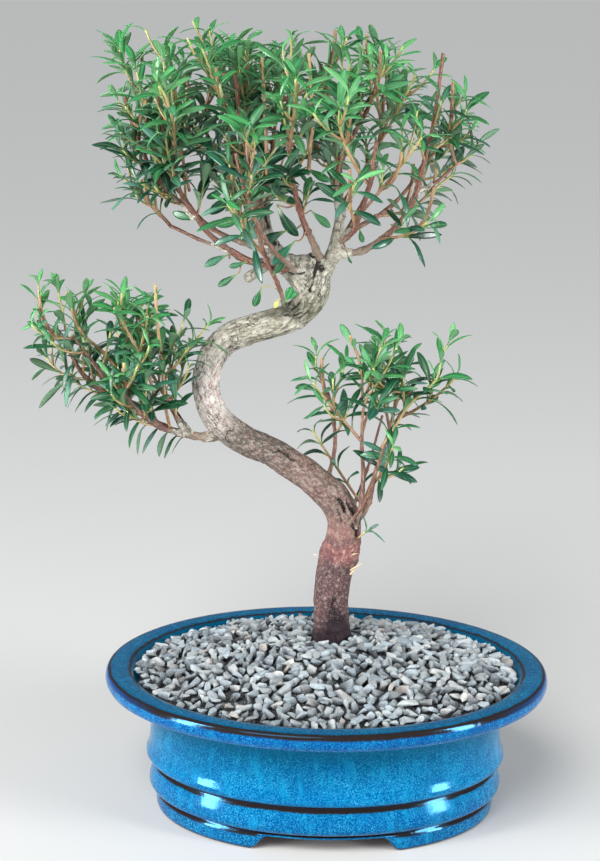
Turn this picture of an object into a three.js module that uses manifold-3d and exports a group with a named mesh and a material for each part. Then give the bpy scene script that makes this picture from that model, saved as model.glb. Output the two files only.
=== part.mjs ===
// A myrtle bonsai: an S-curved trunk that carries a domed crown and two side pads of leafy
// sprays, planted in an oval glazed pot on two bracket feet and top-dressed with crushed stone.
// Millimetres, +Z up. X runs along the pot's length and Y from its front to its back.
// Everything is laid out about the pot's centre, with the feet at Z = 0. The finished group is
// then moved so that its origin is under the middle of the whole outline.

import * as THREE from "three";
import { mergeVertices } from "three/addons/utils/BufferGeometryUtils.js";
import Module from "manifold-3d";

const wasm = await Module();
wasm.setup();

// Driving dimensions of the pot
const RIM_TOP = 118;
const FOOT_HEIGHT = 14;
const FLOOR_TOP = 22;
const POT_SIDES = 44;
const ARCH_TOP_HALF = 44;
const ARCH_FOOT_HALF = 58;
const DRAIN_X = 62;
const DRAIN_RADIUS = 12;
const DRAIN_SIDES = 12;

// Half length, half width and height of each ring of the pot, from the underside to the floor
const POT_RINGS = [
  [119, 79, FOOT_HEIGHT],
  [121, 81, 0],
  [133, 92, 0],
  [135, 94, 3],
  [135, 94, 15],
  [133, 92, 17.5],
  [137, 96, 20],
  [141, 100, 26],
  [141, 100, 34],
  [139, 98, 40],
  [137, 96, 42.5],
  [140, 99, 45.5],
  [143, 102, 58],
  [143, 102, 84],
  [142, 101, 96],
  [147, 106, 103],
  [171, 129, 106],
  [175, 133, 111],
  [173, 131, 116.5],
  [171, 129.5, RIM_TOP],
  [155.5, 117.5, RIM_TOP],
  [149, 110.5, 111],
  [138, 98, 101],
  [133, 92, 88],
  [128, 87, 30],
  [121, 80, FLOOR_TOP],
];

// Soil, drainage screens and gravel
const SEAT = 0.3;
const WALL_GAP = 0.8;
const SOIL_TOP = 102.5;
const SCREEN_SIZE = 42;
const SCREEN_THICK = 1.5;
const SCREEN_HOLE = 8.5;
const SCREEN_PITCH = 13;
const GRAVEL_BASE = SOIL_TOP + SEAT;
const GRAVEL_EDGE = 111;
const GRAVEL_RISE = 20;
const STONE_PITCH = 18.5;
const STONE_HEIGHT = 4.6;

const TRUNK_SIDES = 11;

// The trunk's centreline and radius, from its buried foot to the fork under the crown
const TRUNK = [
  [4, 30, 62, 12],
  [4, 30, 80, 19],
  [4, 30, 104, 20],
  [4, 30, 122, 18],
  [4, 30, 140, 15],
  [3, 30, 164, 13.8],
  [5, 30, 186, 14],
  [9, 30, 201, 15.6],
  [12, 29, 215, 14],
  [12, 28, 231, 13],
  [5, 27, 247, 12.8],
  [-9, 26, 261, 12],
  [-26, 26, 274, 11.6],
  [-47, 26, 287, 11.3],
  [-68, 27, 296, 11.4],
  [-84, 28, 308, 11.3],
  [-93, 30, 321, 10.8],
  [-97, 31, 337, 10.6],
  [-95, 32, 352, 10.6],
  [-89, 33, 366, 10.9],
  [-77, 33, 377, 11.4],
  [-59, 32, 384, 11.2],
  [-40, 31, 390, 11.2],
  [-25, 30, 398, 11],
  [-16, 30, 409, 11],
  [-12, 30, 421, 10.8],
];

// Limbs and woody branches: each row of points is x, y, z and ends in a thinner twig
const WOOD = {
  crown: [
    { r: [9, 3.2], p: [[-13, 30, 414], [-8, 30, 428], [-1, 29, 441], [2, 28, 455], [6, 28, 483]] },
    { r: [10, 6], p: [[-14, 30, 412], [-27, 30, 427], [-40, 31, 438], [-51, 33, 454], [-56, 35, 474]] },
    { r: [4.4, 4], p: [[-40, 30, 440], [-53, 28, 433], [-66, 26, 424]] },
    { r: [2.4, 1.8], p: [[-34, 29, 396], [-44, 16, 428], [-52, 8, 446]] },
    { r: [4, 1.6], p: [[-7, 30, 430], [-14, 22, 450], [-26, 8, 480], [-34, -4, 520], [-35, -6, 556]] },
    { r: [3.2, 1.4], p: [[5, 28, 472], [1, 22, 503], [14, 14, 538], [23, 10, 556]] },
    { r: [3.8, 1.5], p: [[0, 28, 444], [25, 20, 450], [53, 8, 478], [66, 2, 520], [72, 0, 554]] },
    { r: [2, 1.3], p: [[60, 5, 496], [74, 10, 503], [90, 15, 516]] },
    { r: [2.8, 1.4], p: [[2, 30, 447], [22, 52, 480], [33, 68, 507], [36, 74, 536]] },
    { r: [3.6, 1.5], p: [[-42, 30, 436], [-68, 18, 441], [-94, 4, 464], [-112, -3, 492], [-123, -6, 525]] },
    { r: [2.4, 1.3], p: [[-104, 0, 476], [-132, 3, 504], [-146, 6, 530]] },
    { r: [2, 1.2], p: [[-80, 11, 450], [-100, 24, 454], [-124, 34, 462]] },
    { r: [3.4, 1.4], p: [[-55, 35, 466], [-74, 39, 506], [-81, 40, 548]] },
    { r: [2.8, 1.3], p: [[-52, 33, 458], [-62, 8, 504], [-70, -10, 548]] },
    { r: [2.8, 1.3], p: [[-52, 34, 460], [-49, 54, 508], [-44, 66, 554]] },
    { r: [3, 1.3], p: [[-55, 35, 470], [-84, 69, 502], [-104, 84, 534]] },
    { r: [2.8, 1.3], p: [[4, 28, 462], [5, 72, 496], [-4, 96, 532]] },
    { r: [3, 1.3], p: [[-46, 32, 446], [-56, 78, 478], [-58, 106, 520]] },
    { r: [3, 1.3], p: [[-24, 29, 426], [-50, -22, 464], [-66, -48, 506]] },
    { r: [2.8, 1.3], p: [[1, 28, 450], [16, -16, 474], [24, -44, 510]] },
    { r: [2.8, 1.3], p: [[2, 29, 456], [46, 62, 476], [70, 74, 508]] },
    { r: [3, 1.3], p: [[-44, 32, 442], [-94, 52, 458], [-126, 62, 492]] },
  ],
  left: [
    { r: [4.6, 1.6], p: [[-84, 28, 302], [-98, 25, 298], [-126, 17, 307], [-158, 8, 329], [-186, 3, 350], [-199, 0, 371]] },
    { r: [2.2, 1.3], p: [[-158, 9, 328], [-176, -1, 357], [-194, -8, 384]] },
    { r: [2.6, 1.3], p: [[-112, 21, 301], [-127, 12, 336], [-130, 4, 372]] },
    { r: [2.2, 1.3], p: [[-136, 14, 312], [-146, 30, 344], [-154, 36, 364]] },
    { r: [2.4, 1.3], p: [[-108, 22, 300], [-130, 50, 324], [-152, 64, 358]] },
    { r: [2.2, 1.3], p: [[-116, 20, 302], [-138, -12, 320], [-160, -30, 354]] },
  ],
  right: [
    { r: [3.4, 1.4], p: [[12, 26, 219], [23, 20, 232], [26, 15, 275], [25, 12, 310], [34, 8, 335]] },
    { r: [3.2, 1.4], p: [[12, 28, 219], [29, 31, 238], [38, 34, 278], [52, 34, 312], [68, 32, 334]] },
    { r: [2.8, 1.3], p: [[-4, 27, 256], [4, 38, 286], [2, 40, 314], [-2, 38, 332]] },
    { r: [2.4, 1.3], p: [[12, 29, 222], [28, 56, 256], [42, 70, 304]] },
    { r: [2.4, 1.3], p: [[12, 26, 222], [28, -4, 258], [40, -22, 306]] },
  ],
};

// Where the sprays of each pad end: rings of tips round a centre, seen from above.
// Each ring gives how many, how far out, how high, how much every second one drops,
// how far the stem leans out, and how far down it reaches for its wood.
// Over a pad the tips fall by its slope and the stems deepen by so much a millimetre of X.
const PADS = {
  crown: {
    centre: [-34, 28],
    half: [128, 92],
    slope: -0.08,
    deepen: 0,
    rings: [
      { count: 1, out: 0, z: 608, drop: 0, lean: 0, reach: 66 },
      { count: 4, out: 0.42, z: 608, drop: 8, lean: 0.2, reach: 66 },
      { count: 8, out: 0.76, z: 601, drop: 12, lean: 0.45, reach: 66 },
      { count: 12, out: 1.02, z: 580, drop: 28, lean: 0.8, reach: 62 },
      { count: 10, out: 0.98, z: 522, drop: 28, lean: 1.2, reach: 50 },
    ],
  },
  left: {
    centre: [-163, 18],
    half: [68, 46],
    slope: -0.04,
    deepen: 0.4,
    rings: [
      { count: 1, out: 0, z: 408, drop: 0, lean: 0, reach: 62 },
      { count: 3, out: 0.5, z: 406, drop: 4, lean: 0.3, reach: 62 },
      { count: 5, out: 0.98, z: 392, drop: 30, lean: 0.8, reach: 56 },
      { count: 2, out: 0.7, z: 345, drop: 10, lean: 1.3, reach: 34 },
    ],
  },
  right: {
    centre: [38, 24],
    half: [58, 42],
    slope: 0,
    deepen: 0,
    rings: [
      { count: 1, out: 0, z: 374, drop: 0, lean: 0, reach: 70 },
      { count: 2, out: 0.55, z: 370, drop: 6, lean: 0.4, reach: 66 },
      { count: 5, out: 1, z: 350, drop: 44, lean: 0.8, reach: 60 },
    ],
  },
};

// Leaves stand in opposite pairs, each pair turned a quarter turn from the last
const STEM_RADIUS = [1.3, 0.9];
const STEM_APART = 4;
const STEM_LEAVE = 9;
const STEM_CHECKS = 16;
const TWIG_END_PULL = 22;
const PAIR_PITCH = 12.5;
const FIRST_PAIR = 9;
const LEAF_FOOT = 1.1;
const LEAF_LENGTH = 25;
const LEAF_WIDTH = 7;
const LEAF_KEEL = 1;
const LEAF_BLUNT = 0.36;
const LEAF_SAG = 0.3;
const LEAF_CLEARANCE = 0.5;
const BENDS = [0, 20, -20, 40, -40, 60, -60];

// A repeatable draw from 0 to 1 for any three whole numbers
function draw(a, b, c) {
  const wave = Math.sin(a * 12.9898 + b * 78.233 + c * 37.719 + 4.1) * 43758.5453;
  return wave - Math.floor(wave);
}

const vec = (p) => new THREE.Vector3(p[0], p[1], p[2]);

// Solids: a closed three.js geometry becomes one that can be joined and cut
function toSolid(geometry) {
  const bare = geometry.clone();
  bare.deleteAttribute("normal");
  bare.deleteAttribute("uv");
  const merged = mergeVertices(bare, 1e-4);
  return new wasm.Manifold(
    new wasm.Mesh({
      numProp: 3,
      vertProperties: new Float32Array(merged.attributes.position.array),
      triVerts: new Uint32Array(merged.index.array),
    }),
  );
}

function toGeometry(solid) {
  const mesh = solid.getMesh();
  const position = new Float32Array(mesh.numVert * 3);
  for (let i = 0; i < mesh.numVert; i++) {
    position.set(mesh.vertProperties.subarray(i * mesh.numProp, i * mesh.numProp + 3), i * 3);
  }
  const geometry = new THREE.BufferGeometry();
  geometry.setAttribute("position", new THREE.BufferAttribute(position, 3));
  geometry.setIndex(new THREE.BufferAttribute(new Uint32Array(mesh.triVerts), 1));
  geometry.computeVertexNormals();
  return geometry;
}

function faceted(points, triangles) {
  const geometry = new THREE.BufferGeometry();
  geometry.setAttribute("position", new THREE.Float32BufferAttribute(points.flat(), 3));
  geometry.setIndex(triangles.flat());
  return geometry;
}

const joinAll = (solids) => solids.reduce((whole, next) => whole.add(next));

// The largest body of a solid, without the scraps that a cut leaves
function largestBody(solid) {
  return solid.decompose().reduce((best, body) => (body.volume() > best.volume() ? body : best));
}

// A closed skin over a stack of loops with equal numbers of points, capped at both ends
function loftLoops(loops, capStart, capEnd) {
  const n = loops[0].length;
  const points = loops.flat();
  const triangles = [];
  for (let k = 0; k + 1 < loops.length; k++) {
    for (let i = 0; i < n; i++) {
      const a = k * n + i;
      const b = k * n + ((i + 1) % n);
      triangles.push([a, b, b + n], [a, b + n, a + n]);
    }
  }
  const last = (loops.length - 1) * n;
  const start = points.push(capStart) - 1;
  const end = points.push(capEnd) - 1;
  for (let i = 0; i < n; i++) {
    triangles.push([start, (i + 1) % n, i], [end, last + i, last + ((i + 1) % n)]);
  }
  return faceted(points, triangles);
}

// Stacked ovals, each given by its half length, half width and height
function ovalStack(rings, sides) {
  const loops = rings.map(([a, b, z]) =>
    Array.from({ length: sides }, (_, i) => {
      const turn = (2 * Math.PI * i) / sides;
      return [a * Math.cos(turn), b * Math.sin(turn), z];
    }),
  );
  return toSolid(loftLoops(loops, [0, 0, rings[0][2]], [0, 0, rings.at(-1)[2]]));
}

// A tapering limb through points x, y, z, r, with its sections turned along the curve
function limb(points, sides, extra = 0) {
  const centres = points.map(vec);
  const last = centres.length - 1;
  const tangents = centres.map((_, i) =>
    centres[Math.min(i + 1, last)].clone().sub(centres[Math.max(i - 1, 0)]).normalize(),
  );
  const seed = Math.abs(tangents[0].z) < 0.9 ? new THREE.Vector3(0, 0, 1) : new THREE.Vector3(1, 0, 0);
  let side = seed.cross(tangents[0]).normalize();
  const loops = centres.map((centre, i) => {
    if (i > 0) {
      side = side.clone().applyQuaternion(
        new THREE.Quaternion().setFromUnitVectors(tangents[i - 1], tangents[i]),
      );
    }
    const other = tangents[i].clone().cross(side);
    const radius = points[i][3] + extra;
    return Array.from({ length: sides }, (_, k) => {
      const turn = (2 * Math.PI * k) / sides;
      return centre
        .clone()
        .addScaledVector(side, radius * Math.cos(turn))
        .addScaledVector(other, radius * Math.sin(turn))
        .toArray();
    });
  });
  return toSolid(loftLoops(loops, centres[0].toArray(), centres[last].toArray()));
}

// A box from its lowest to its highest corner
function block(low, high) {
  const size = vec(high).sub(vec(low));
  const geometry = new THREE.BoxGeometry(size.x, size.y, size.z);
  geometry.translate((low[0] + high[0]) / 2, (low[1] + high[1]) / 2, (low[2] + high[2]) / 2);
  return toSolid(geometry);
}

// Pot: an oval bowl with a wide lip and two grooves, an arch cut between its feet, two drains
function footArch() {
  const shape = new THREE.Shape();
  const sag = (ARCH_FOOT_HALF - ARCH_TOP_HALF) * 0.6;
  shape.moveTo(-ARCH_FOOT_HALF, -1);
  shape.bezierCurveTo(
    -ARCH_FOOT_HALF + sag, 2, -ARCH_TOP_HALF - sag, FOOT_HEIGHT - 1, -ARCH_TOP_HALF, FOOT_HEIGHT,
  );
  shape.lineTo(ARCH_TOP_HALF, FOOT_HEIGHT);
  shape.bezierCurveTo(
    ARCH_TOP_HALF + sag, FOOT_HEIGHT - 1, ARCH_FOOT_HALF - sag, 2, ARCH_FOOT_HALF, -1,
  );
  const depth = 2 * POT_RINGS[4][1] + 20;
  const geometry = new THREE.ExtrudeGeometry(shape, { depth, bevelEnabled: false, curveSegments: 5 });
  geometry.rotateX(Math.PI / 2);
  geometry.translate(0, depth / 2, 0);
  return toSolid(geometry);
}

function drainHole(x) {
  const height = FLOOR_TOP - FOOT_HEIGHT + 4;
  const geometry = new THREE.CylinderGeometry(DRAIN_RADIUS, DRAIN_RADIUS, height, DRAIN_SIDES);
  geometry.rotateX(Math.PI / 2);
  geometry.translate(x, 0, (FLOOR_TOP + FOOT_HEIGHT) / 2);
  return toSolid(geometry);
}

function makePot() {
  return ovalStack(POT_RINGS, POT_SIDES)
    .subtract(footArch())
    .subtract(drainHole(-DRAIN_X))
    .subtract(drainHole(DRAIN_X));
}

// Drainage screens: flat plastic mesh laid over each drain
function makeScreen(x) {
  const half = SCREEN_SIZE / 2;
  const low = FLOOR_TOP + SEAT;
  let screen = block([x - half, -half, low], [x + half, half, low + SCREEN_THICK]);
  const count = Math.floor((SCREEN_SIZE - 3) / SCREEN_PITCH);
  const first = (-(count - 1) * SCREEN_PITCH) / 2;
  for (let i = 0; i < count; i++) {
    for (let k = 0; k < count; k++) {
      const cx = x + first + i * SCREEN_PITCH;
      const cy = first + k * SCREEN_PITCH;
      const reach = SCREEN_HOLE / 2;
      screen = screen.subtract(
        block([cx - reach, cy - reach, low - 1], [cx + reach, cy + reach, low + SCREEN_THICK + 1]),
      );
    }
  }
  return screen;
}

function makeSoil(trunkFoot) {
  const soil = ovalStack(
    [
      [121 - WALL_GAP, 80 - WALL_GAP, FLOOR_TOP + SEAT],
      [128 - WALL_GAP, 87 - WALL_GAP, 30],
      [133 - WALL_GAP, 92 - WALL_GAP, 88],
      [138 - WALL_GAP, 98 - WALL_GAP, SOIL_TOP],
    ],
    POT_SIDES,
  );
  const pocket = (x) =>
    block(
      [x - SCREEN_SIZE / 2 - SEAT, -SCREEN_SIZE / 2 - SEAT, FLOOR_TOP - 1],
      [x + SCREEN_SIZE / 2 + SEAT, SCREEN_SIZE / 2 + SEAT, FLOOR_TOP + 2 * SEAT + SCREEN_THICK],
    );
  return soil.subtract(pocket(-DRAIN_X)).subtract(pocket(DRAIN_X)).subtract(trunkFoot);
}

// Gravel: a mounded bed whose top is raised into angular stones on a jittered honeycomb.
// Of the points of a triangular grid, every third is a stone's middle and the rest are the
// low corners between stones.
function gravelHeight(x, y) {
  const out = Math.min(1, Math.hypot(x / 149, y / 110.5));
  return GRAVEL_EDGE + GRAVEL_RISE * (1 - out ** 1.6);
}

function makeGravel(trunkFoot) {
  const step = STONE_PITCH / Math.sqrt(3);
  const edge = [147.4, 109];
  const isMiddle = (i, j) => (((i - j) % 3) + 3) % 3 === 0;
  const around = [[1, 0], [0, 1], [-1, 1], [-1, 0], [0, -1], [1, -1]];
  const gridPoint = (i, j) => {
    const jitter = 0.28 * step;
    const x = (i + j / 2) * step + (draw(i, j, 1) - 0.5) * 2 * jitter;
    const y = j * step * (Math.sqrt(3) / 2) + (draw(i, j, 2) - 0.5) * 2 * jitter;
    return [x, y];
  };
  const inside = (i, j) => {
    const x = (i + j / 2) * step;
    const y = j * step * (Math.sqrt(3) / 2);
    return Math.hypot(x / (edge[0] - 5), y / (edge[1] - 5)) < 1;
  };
  const span = Math.ceil(150 / step) * 2;
  const points = [];
  const triangles = [];
  const cornerAt = new Map();
  const edgeUse = new Map();
  const corner = (i, j) => {
    const key = i + "," + j;
    if (!cornerAt.has(key)) {
      const [x, y] = gridPoint(i, j);
      cornerAt.set(key, points.push([x, y, gravelHeight(x, y) - draw(i, j, 3) * 1.2]) - 1);
    }
    return cornerAt.get(key);
  };
  for (let i = -span; i <= span; i++) {
    for (let j = -span; j <= span; j++) {
      if (!isMiddle(i, j) || !inside(i, j)) continue;
      const ring = around.map(([di, dj]) => corner(i + di, j + dj));
      const [mx, my] = gridPoint(i, j);
      const spin = draw(i, j, 4) * 2;
      const top = [0, 1, 2].map((k) => {
        const toward = around[(2 * k + 1) % 6];
        const [cx, cy] = gridPoint(i + toward[0], j + toward[1]);
        const reach = 0.42 + 0.16 * draw(i + k, j, 5);
        const x = mx + (cx - mx) * reach;
        const y = my + (cy - my) * reach;
        const height = STONE_HEIGHT * (0.75 + 0.5 * draw(i, j, 6)) * (k === Math.floor(spin) ? 0.8 : 1.05);
        return points.push([x, y, gravelHeight(x, y) + height]) - 1;
      });
      ring.forEach((a, k) => {
        const b = ring[(k + 1) % 6];
        const key = a + "," + b;
        edgeUse.set(key, true);
        triangles.push([a, b, top[Math.floor(k / 2)]]);
      });
      for (let k = 0; k < 3; k++) triangles.push([ring[(2 * k + 2) % 6], top[(k + 1) % 3], top[k]]);
      triangles.push([top[0], top[1], top[2]]);
    }
  }
  // The open border is drawn out to the pot's oval and walled down to a flat base
  const next = new Map();
  for (const key of edgeUse.keys()) {
    const [a, b] = key.split(",").map(Number);
    if (!edgeUse.has(b + "," + a)) next.set(a, b);
  }
  const border = [next.keys().next().value];
  while (next.get(border.at(-1)) !== border[0]) border.push(next.get(border.at(-1)));
  const turns = border.map((v) => Math.atan2(points[v][1] / edge[1], points[v][0] / edge[0]));
  border.forEach((v, k) => {
    points[v] = [edge[0] * Math.cos(turns[k]), edge[1] * Math.sin(turns[k]), GRAVEL_EDGE - 0.6];
  });
  const low = turns.map(
    (turn) => points.push([136.6 * Math.cos(turn), 96.6 * Math.sin(turn), GRAVEL_BASE]) - 1,
  );
  const middle = points.push([0, 0, GRAVEL_BASE]) - 1;
  border.forEach((a, k) => {
    const m = (k + 1) % border.length;
    triangles.push([border[m], a, low[k]], [border[m], low[k], low[m]], [low[m], low[k], middle]);
  });
  return toSolid(faceted(points, triangles)).subtract(trunkFoot);
}

// The tree's wood: root stock, trunk, limbs and branches grown together
function branchPoints({ r, p }) {
  const last = p.length - 1;
  return p.map((q, i) => [...q, r[0] + ((r[1] - r[0]) * i) / last]);
}

const FOOT_POINTS = 6;
const makeFoot = (extra) => limb(TRUNK.slice(0, FOOT_POINTS), TRUNK_SIDES, extra);

function makeWood(extra) {
  const parts = [limb(TRUNK, TRUNK_SIDES, extra)];
  for (const rows of Object.values(WOOD)) {
    for (const row of rows) {
      const sides = row.r[0] > 5 ? 8 : row.r[0] > 3 ? 5 : 4;
      parts.push(limb(branchPoints(row), sides, extra));
    }
  }
  return joinAll(parts);
}

// Sprays: a stem that rises from the nearest wood to its tip, with pairs of leaves
function sprayTips(pad) {
  const tips = [];
  pad.rings.forEach((ring, level) => {
    for (let k = 0; k < ring.count; k++) {
      const turn = (2 * Math.PI * (k + 0.5 * level + 0.3 * (draw(level, k, 7) - 0.5))) / ring.count;
      const out = ring.out * (1 + 0.08 * (draw(level, k, 8) - 0.5));
      const x = pad.centre[0] + pad.half[0] * out * Math.cos(turn);
      const y = pad.centre[1] + pad.half[1] * out * Math.sin(turn);
      const dip = (k % 2) * ring.drop + 8 * draw(level, k, 9);
      const z = ring.z - dip + pad.slope * (x - pad.centre[0]);
      const toward = new THREE.Vector3(ring.lean * Math.cos(turn), ring.lean * Math.sin(turn), 1);
      const reach = ring.reach + pad.deepen * (x - pad.centre[0]);
      tips.push({ tip: new THREE.Vector3(x, y, z), toward: toward.normalize(), reach });
    }
  });
  return tips;
}

// Points every few millimetres along a pad's woody branches, with the radius there
function woodSamples(rows) {
  const samples = [];
  for (const points of rows.map(branchPoints)) {
    for (let i = 0; i + 1 < points.length; i++) {
      for (let k = 0; k < 6; k++) {
        const radius = points[i][3] + ((points[i + 1][3] - points[i][3]) * k) / 6;
        samples.push({ point: vec(points[i]).lerp(vec(points[i + 1]), k / 6), radius, pull: 0 });
      }
    }
    samples.push({ point: vec(points.at(-1)), radius: points.at(-1)[3], pull: TWIG_END_PULL });
  }
  return samples;
}

function isFree(way, base, samples, taken) {
  const beyond = way.filter((p) => p.distanceTo(base.point) > base.radius + STEM_LEAVE);
  const wooded = beyond.some((p) => samples.some((s) => s.point.distanceTo(p) < s.radius + 2));
  const crowded = way.some((p) => taken.some((other) => other.some((q) => q.distanceTo(p) < STEM_APART)));
  return !wooded && !crowded;
}

// The way of a spray's stem, from the nearest wood that leaves it clear of other stems.
// The ends of twigs draw stems from further off than their sides do.
function sprayPath({ tip, toward, reach }, samples, taken) {
  const wanted = tip.clone().addScaledVector(toward, -reach);
  const far = (s) => s.point.distanceTo(wanted) - s.pull;
  const sorted = [...samples].sort((a, b) => far(a) - far(b));
  for (const base of sorted.slice(0, 60)) {
    const bend = tip.clone().addScaledVector(toward, -0.45 * tip.distanceTo(base.point));
    const path = new THREE.QuadraticBezierCurve3(base.point, bend, tip);
    const way = path.getPoints(STEM_CHECKS);
    if (isFree(way, base, samples, taken)) {
      taken.push(way);
      return path;
    }
  }
  return null;
}

// The stem's middle, heading and two sides at a share of its way
function stemFrame(path, share, east) {
  const axis = path.getTangent(share);
  const side = east.clone().addScaledVector(axis, -east.dot(axis)).normalize();
  return { centre: path.getPoint(share), axis, side, other: axis.clone().cross(side) };
}

// A way across the stem that no part of it runs along, turned by a random amount
function stemEast(path, index) {
  const chord = path.v2.clone().sub(path.v0).normalize();
  const level = new THREE.Vector3(0, 1, 0).cross(chord).normalize();
  return level.applyAxisAngle(chord, draw(index, 0, 10) * Math.PI);
}

function stemRing(path, share, east) {
  const { centre, side, other } = stemFrame(path, share, east);
  const radius = STEM_RADIUS[0] + (STEM_RADIUS[1] - STEM_RADIUS[0]) * share;
  return [0, 1, 2, 3].map((corner) => {
    const turn = ((corner - 0.5) * Math.PI) / 2;
    return centre
      .clone()
      .addScaledVector(side, radius * Math.cos(turn))
      .addScaledVector(other, radius * Math.sin(turn));
  });
}

// Where the leaves of one spray stand, from the first pair up, two on each pair's opposite faces
function leafPairs(path, index) {
  const length = path.getLength();
  const count = Math.max(2, Math.floor((length - FIRST_PAIR - 3) / PAIR_PITCH) + 1);
  const pairs = [];
  for (let k = 0; k < count; k++) {
    const share = 1 - (3 + (count - 1 - k) * PAIR_PITCH) / length;
    const size = 1 - 0.3 * Math.exp(-1.2 * (count - 1 - k));
    const leaves = [0, 1].map((half) => {
      const seed = index * 40 + k * 2 + half;
      return {
        face: (k % 2) + 2 * half,
        bend: 24 * (draw(seed, 1, 11) - 0.5),
        lift: 0.7 + 0.5 * (draw(seed, 4, 14) - 0.5),
        length: LEAF_LENGTH * size * (0.86 + 0.28 * draw(seed, 2, 12)),
        width: LEAF_WIDTH * size * (0.88 + 0.24 * draw(seed, 3, 13)),
      };
    });
    pairs.push({ low: share - LEAF_FOOT / length, share, high: share + LEAF_FOOT / length, leaves });
  }
  return pairs;
}

// A leaf's points: three at its widest, flat above and keeled below, and two at its blunt tip
function leafPoints(frame, leaf, bend, swell) {
  const bearing = (leaf.face * Math.PI) / 2 + ((leaf.bend + bend) * Math.PI) / 180;
  const away = frame.side
    .clone()
    .multiplyScalar(Math.cos(bearing))
    .addScaledVector(frame.other, Math.sin(bearing));
  const across = frame.axis.clone().cross(away);
  const heading = away.clone().addScaledVector(frame.axis, leaf.lift).normalize();
  const under = across.clone().cross(heading);
  const at = (t) =>
    frame.centre
      .clone()
      .addScaledVector(heading, leaf.length * t)
      .addScaledVector(under, leaf.length * LEAF_SAG * t * t);
  const half = leaf.width / 2 + swell;
  const blunt = (leaf.width * LEAF_BLUNT) / 2 + swell;
  return [
    at(0.52).addScaledVector(under, LEAF_KEEL + swell),
    at(0.52).addScaledVector(across, half).addScaledVector(under, -swell),
    at(0.52).addScaledVector(across, -half).addScaledVector(under, -swell),
    at(1).addScaledVector(across, blunt).addScaledVector(heading, swell),
    at(1).addScaledVector(across, -blunt).addScaledVector(heading, swell),
  ];
}

// The skin of a leaf that grows from a four-cornered foot q, with its own points from p on
const leafSkin = (q, p) => [
  [q[0], q[1], p],
  [q[1], q[2], p + 1],
  [q[1], p + 1, p],
  [q[2], q[3], p + 2],
  [q[2], p + 2, p + 1],
  [q[3], q[0], p],
  [q[3], p, p + 2],
  [p, p + 1, p + 3],
  [p + 1, p + 2, p + 4],
  [p + 1, p + 4, p + 3],
  [p + 2, p, p + 4],
  [p, p + 3, p + 4],
];

function leafFoot(path, pair, leaf, east) {
  const low = stemRing(path, pair.low, east);
  const high = stemRing(path, pair.high, east);
  const next = (leaf.face + 1) % 4;
  return [low[leaf.face], low[next], high[next], high[leaf.face]];
}

function leafSolid(foot, points) {
  const all = [...foot, ...points].map((p) => p.toArray());
  return toSolid(faceted(all, [[0, 3, 2], [0, 2, 1], ...leafSkin([0, 1, 2, 3], 4)]));
}

// One closed skin: a square stem whose faces run out into the leaves that found room
function spraySkin(path, east, pairs) {
  const points = [];
  const triangles = [];
  const addRing = (share) => {
    for (const corner of stemRing(path, share, east)) points.push(corner.toArray());
    return points.length - 4;
  };
  const addFace = (a, b, face) => {
    const next = (face + 1) % 4;
    triangles.push([a + face, a + next, b + next], [a + face, b + next, b + face]);
  };
  const base = addRing(0);
  triangles.push([base, base + 3, base + 2], [base, base + 2, base + 1]);
  let below = base;
  for (const pair of pairs) {
    const low = addRing(pair.low);
    const high = addRing(pair.high);
    for (let face = 0; face < 4; face++) {
      addFace(below, low, face);
      const leaf = pair.leaves.find((one) => one.face === face && one.points);
      if (leaf) {
        const next = (face + 1) % 4;
        triangles.push(...leafSkin([low + face, low + next, high + next, high + face], points.length));
        points.push(...leaf.points.map((p) => p.toArray()));
      } else addFace(low, high, face);
    }
    below = high;
  }
  const tip = points.push(path.getPoint(1).toArray()) - 1;
  for (let face = 0; face < 4; face++) triangles.push([below + face, below + ((face + 1) % 4), tip]);
  return toSolid(faceted(points, triangles));
}

const boxed = (solid) => ({ solid, box: solid.boundingBox() });

const apart = (a, b) =>
  a.min.some((v, i) => v > b.max[i]) || b.min.some((v, i) => v > a.max[i]);

function crosses(solid, others) {
  const box = solid.boundingBox();
  return others.some((o) => !apart(o.box, box) && o.solid.intersect(solid).volume() > 0);
}

// Turns a leaf to the first bearing that clears its neighbours, or leaves it out
function seatLeaf(leaf, frame, foot, own, others) {
  for (const bend of BENDS) {
    const points = leafPoints(frame, leaf, bend, 0);
    const solid = leafSolid(foot, points);
    const swollen = leafSolid(foot, leafPoints(frame, leaf, bend, LEAF_CLEARANCE));
    if (!crosses(solid, own) && !crosses(swollen, others)) {
      leaf.points = points;
      own.push(boxed(solid));
      return;
    }
  }
}

function makeSprays(wood) {
  const sprays = [];
  for (const [pad, rows] of Object.entries(WOOD)) {
    const samples = woodSamples(rows);
    const taken = [];
    sprayTips(PADS[pad]).forEach((spot, k) => {
      const path = sprayPath(spot, samples, taken);
      if (!path) return;
      const index = sprays.length;
      sprays.push({
        name: `${pad}_spray_${String(k + 1).padStart(2, "0")}`,
        path,
        east: stemEast(path, index),
        pairs: leafPairs(path, index),
        own: [],
      });
    });
  }
  const stems = sprays.map(({ path, east, pairs }) => boxed(spraySkin(path, east, pairs)));
  sprays.forEach(({ path, east, pairs, own }, index) => {
    const others = [boxed(wood)];
    sprays.forEach((spray, i) => {
      if (i !== index) others.push(stems[i], ...spray.own);
    });
    for (const pair of pairs) {
      const frame = stemFrame(path, pair.share, east);
      for (const leaf of pair.leaves) {
        seatLeaf(leaf, frame, leafFoot(path, pair, leaf, east), own, others);
      }
    }
  });
  return sprays.map(({ name, path, east, pairs }) => ({
    name,
    solid: largestBody(spraySkin(path, east, pairs).subtract(wood)),
  }));
}

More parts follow.
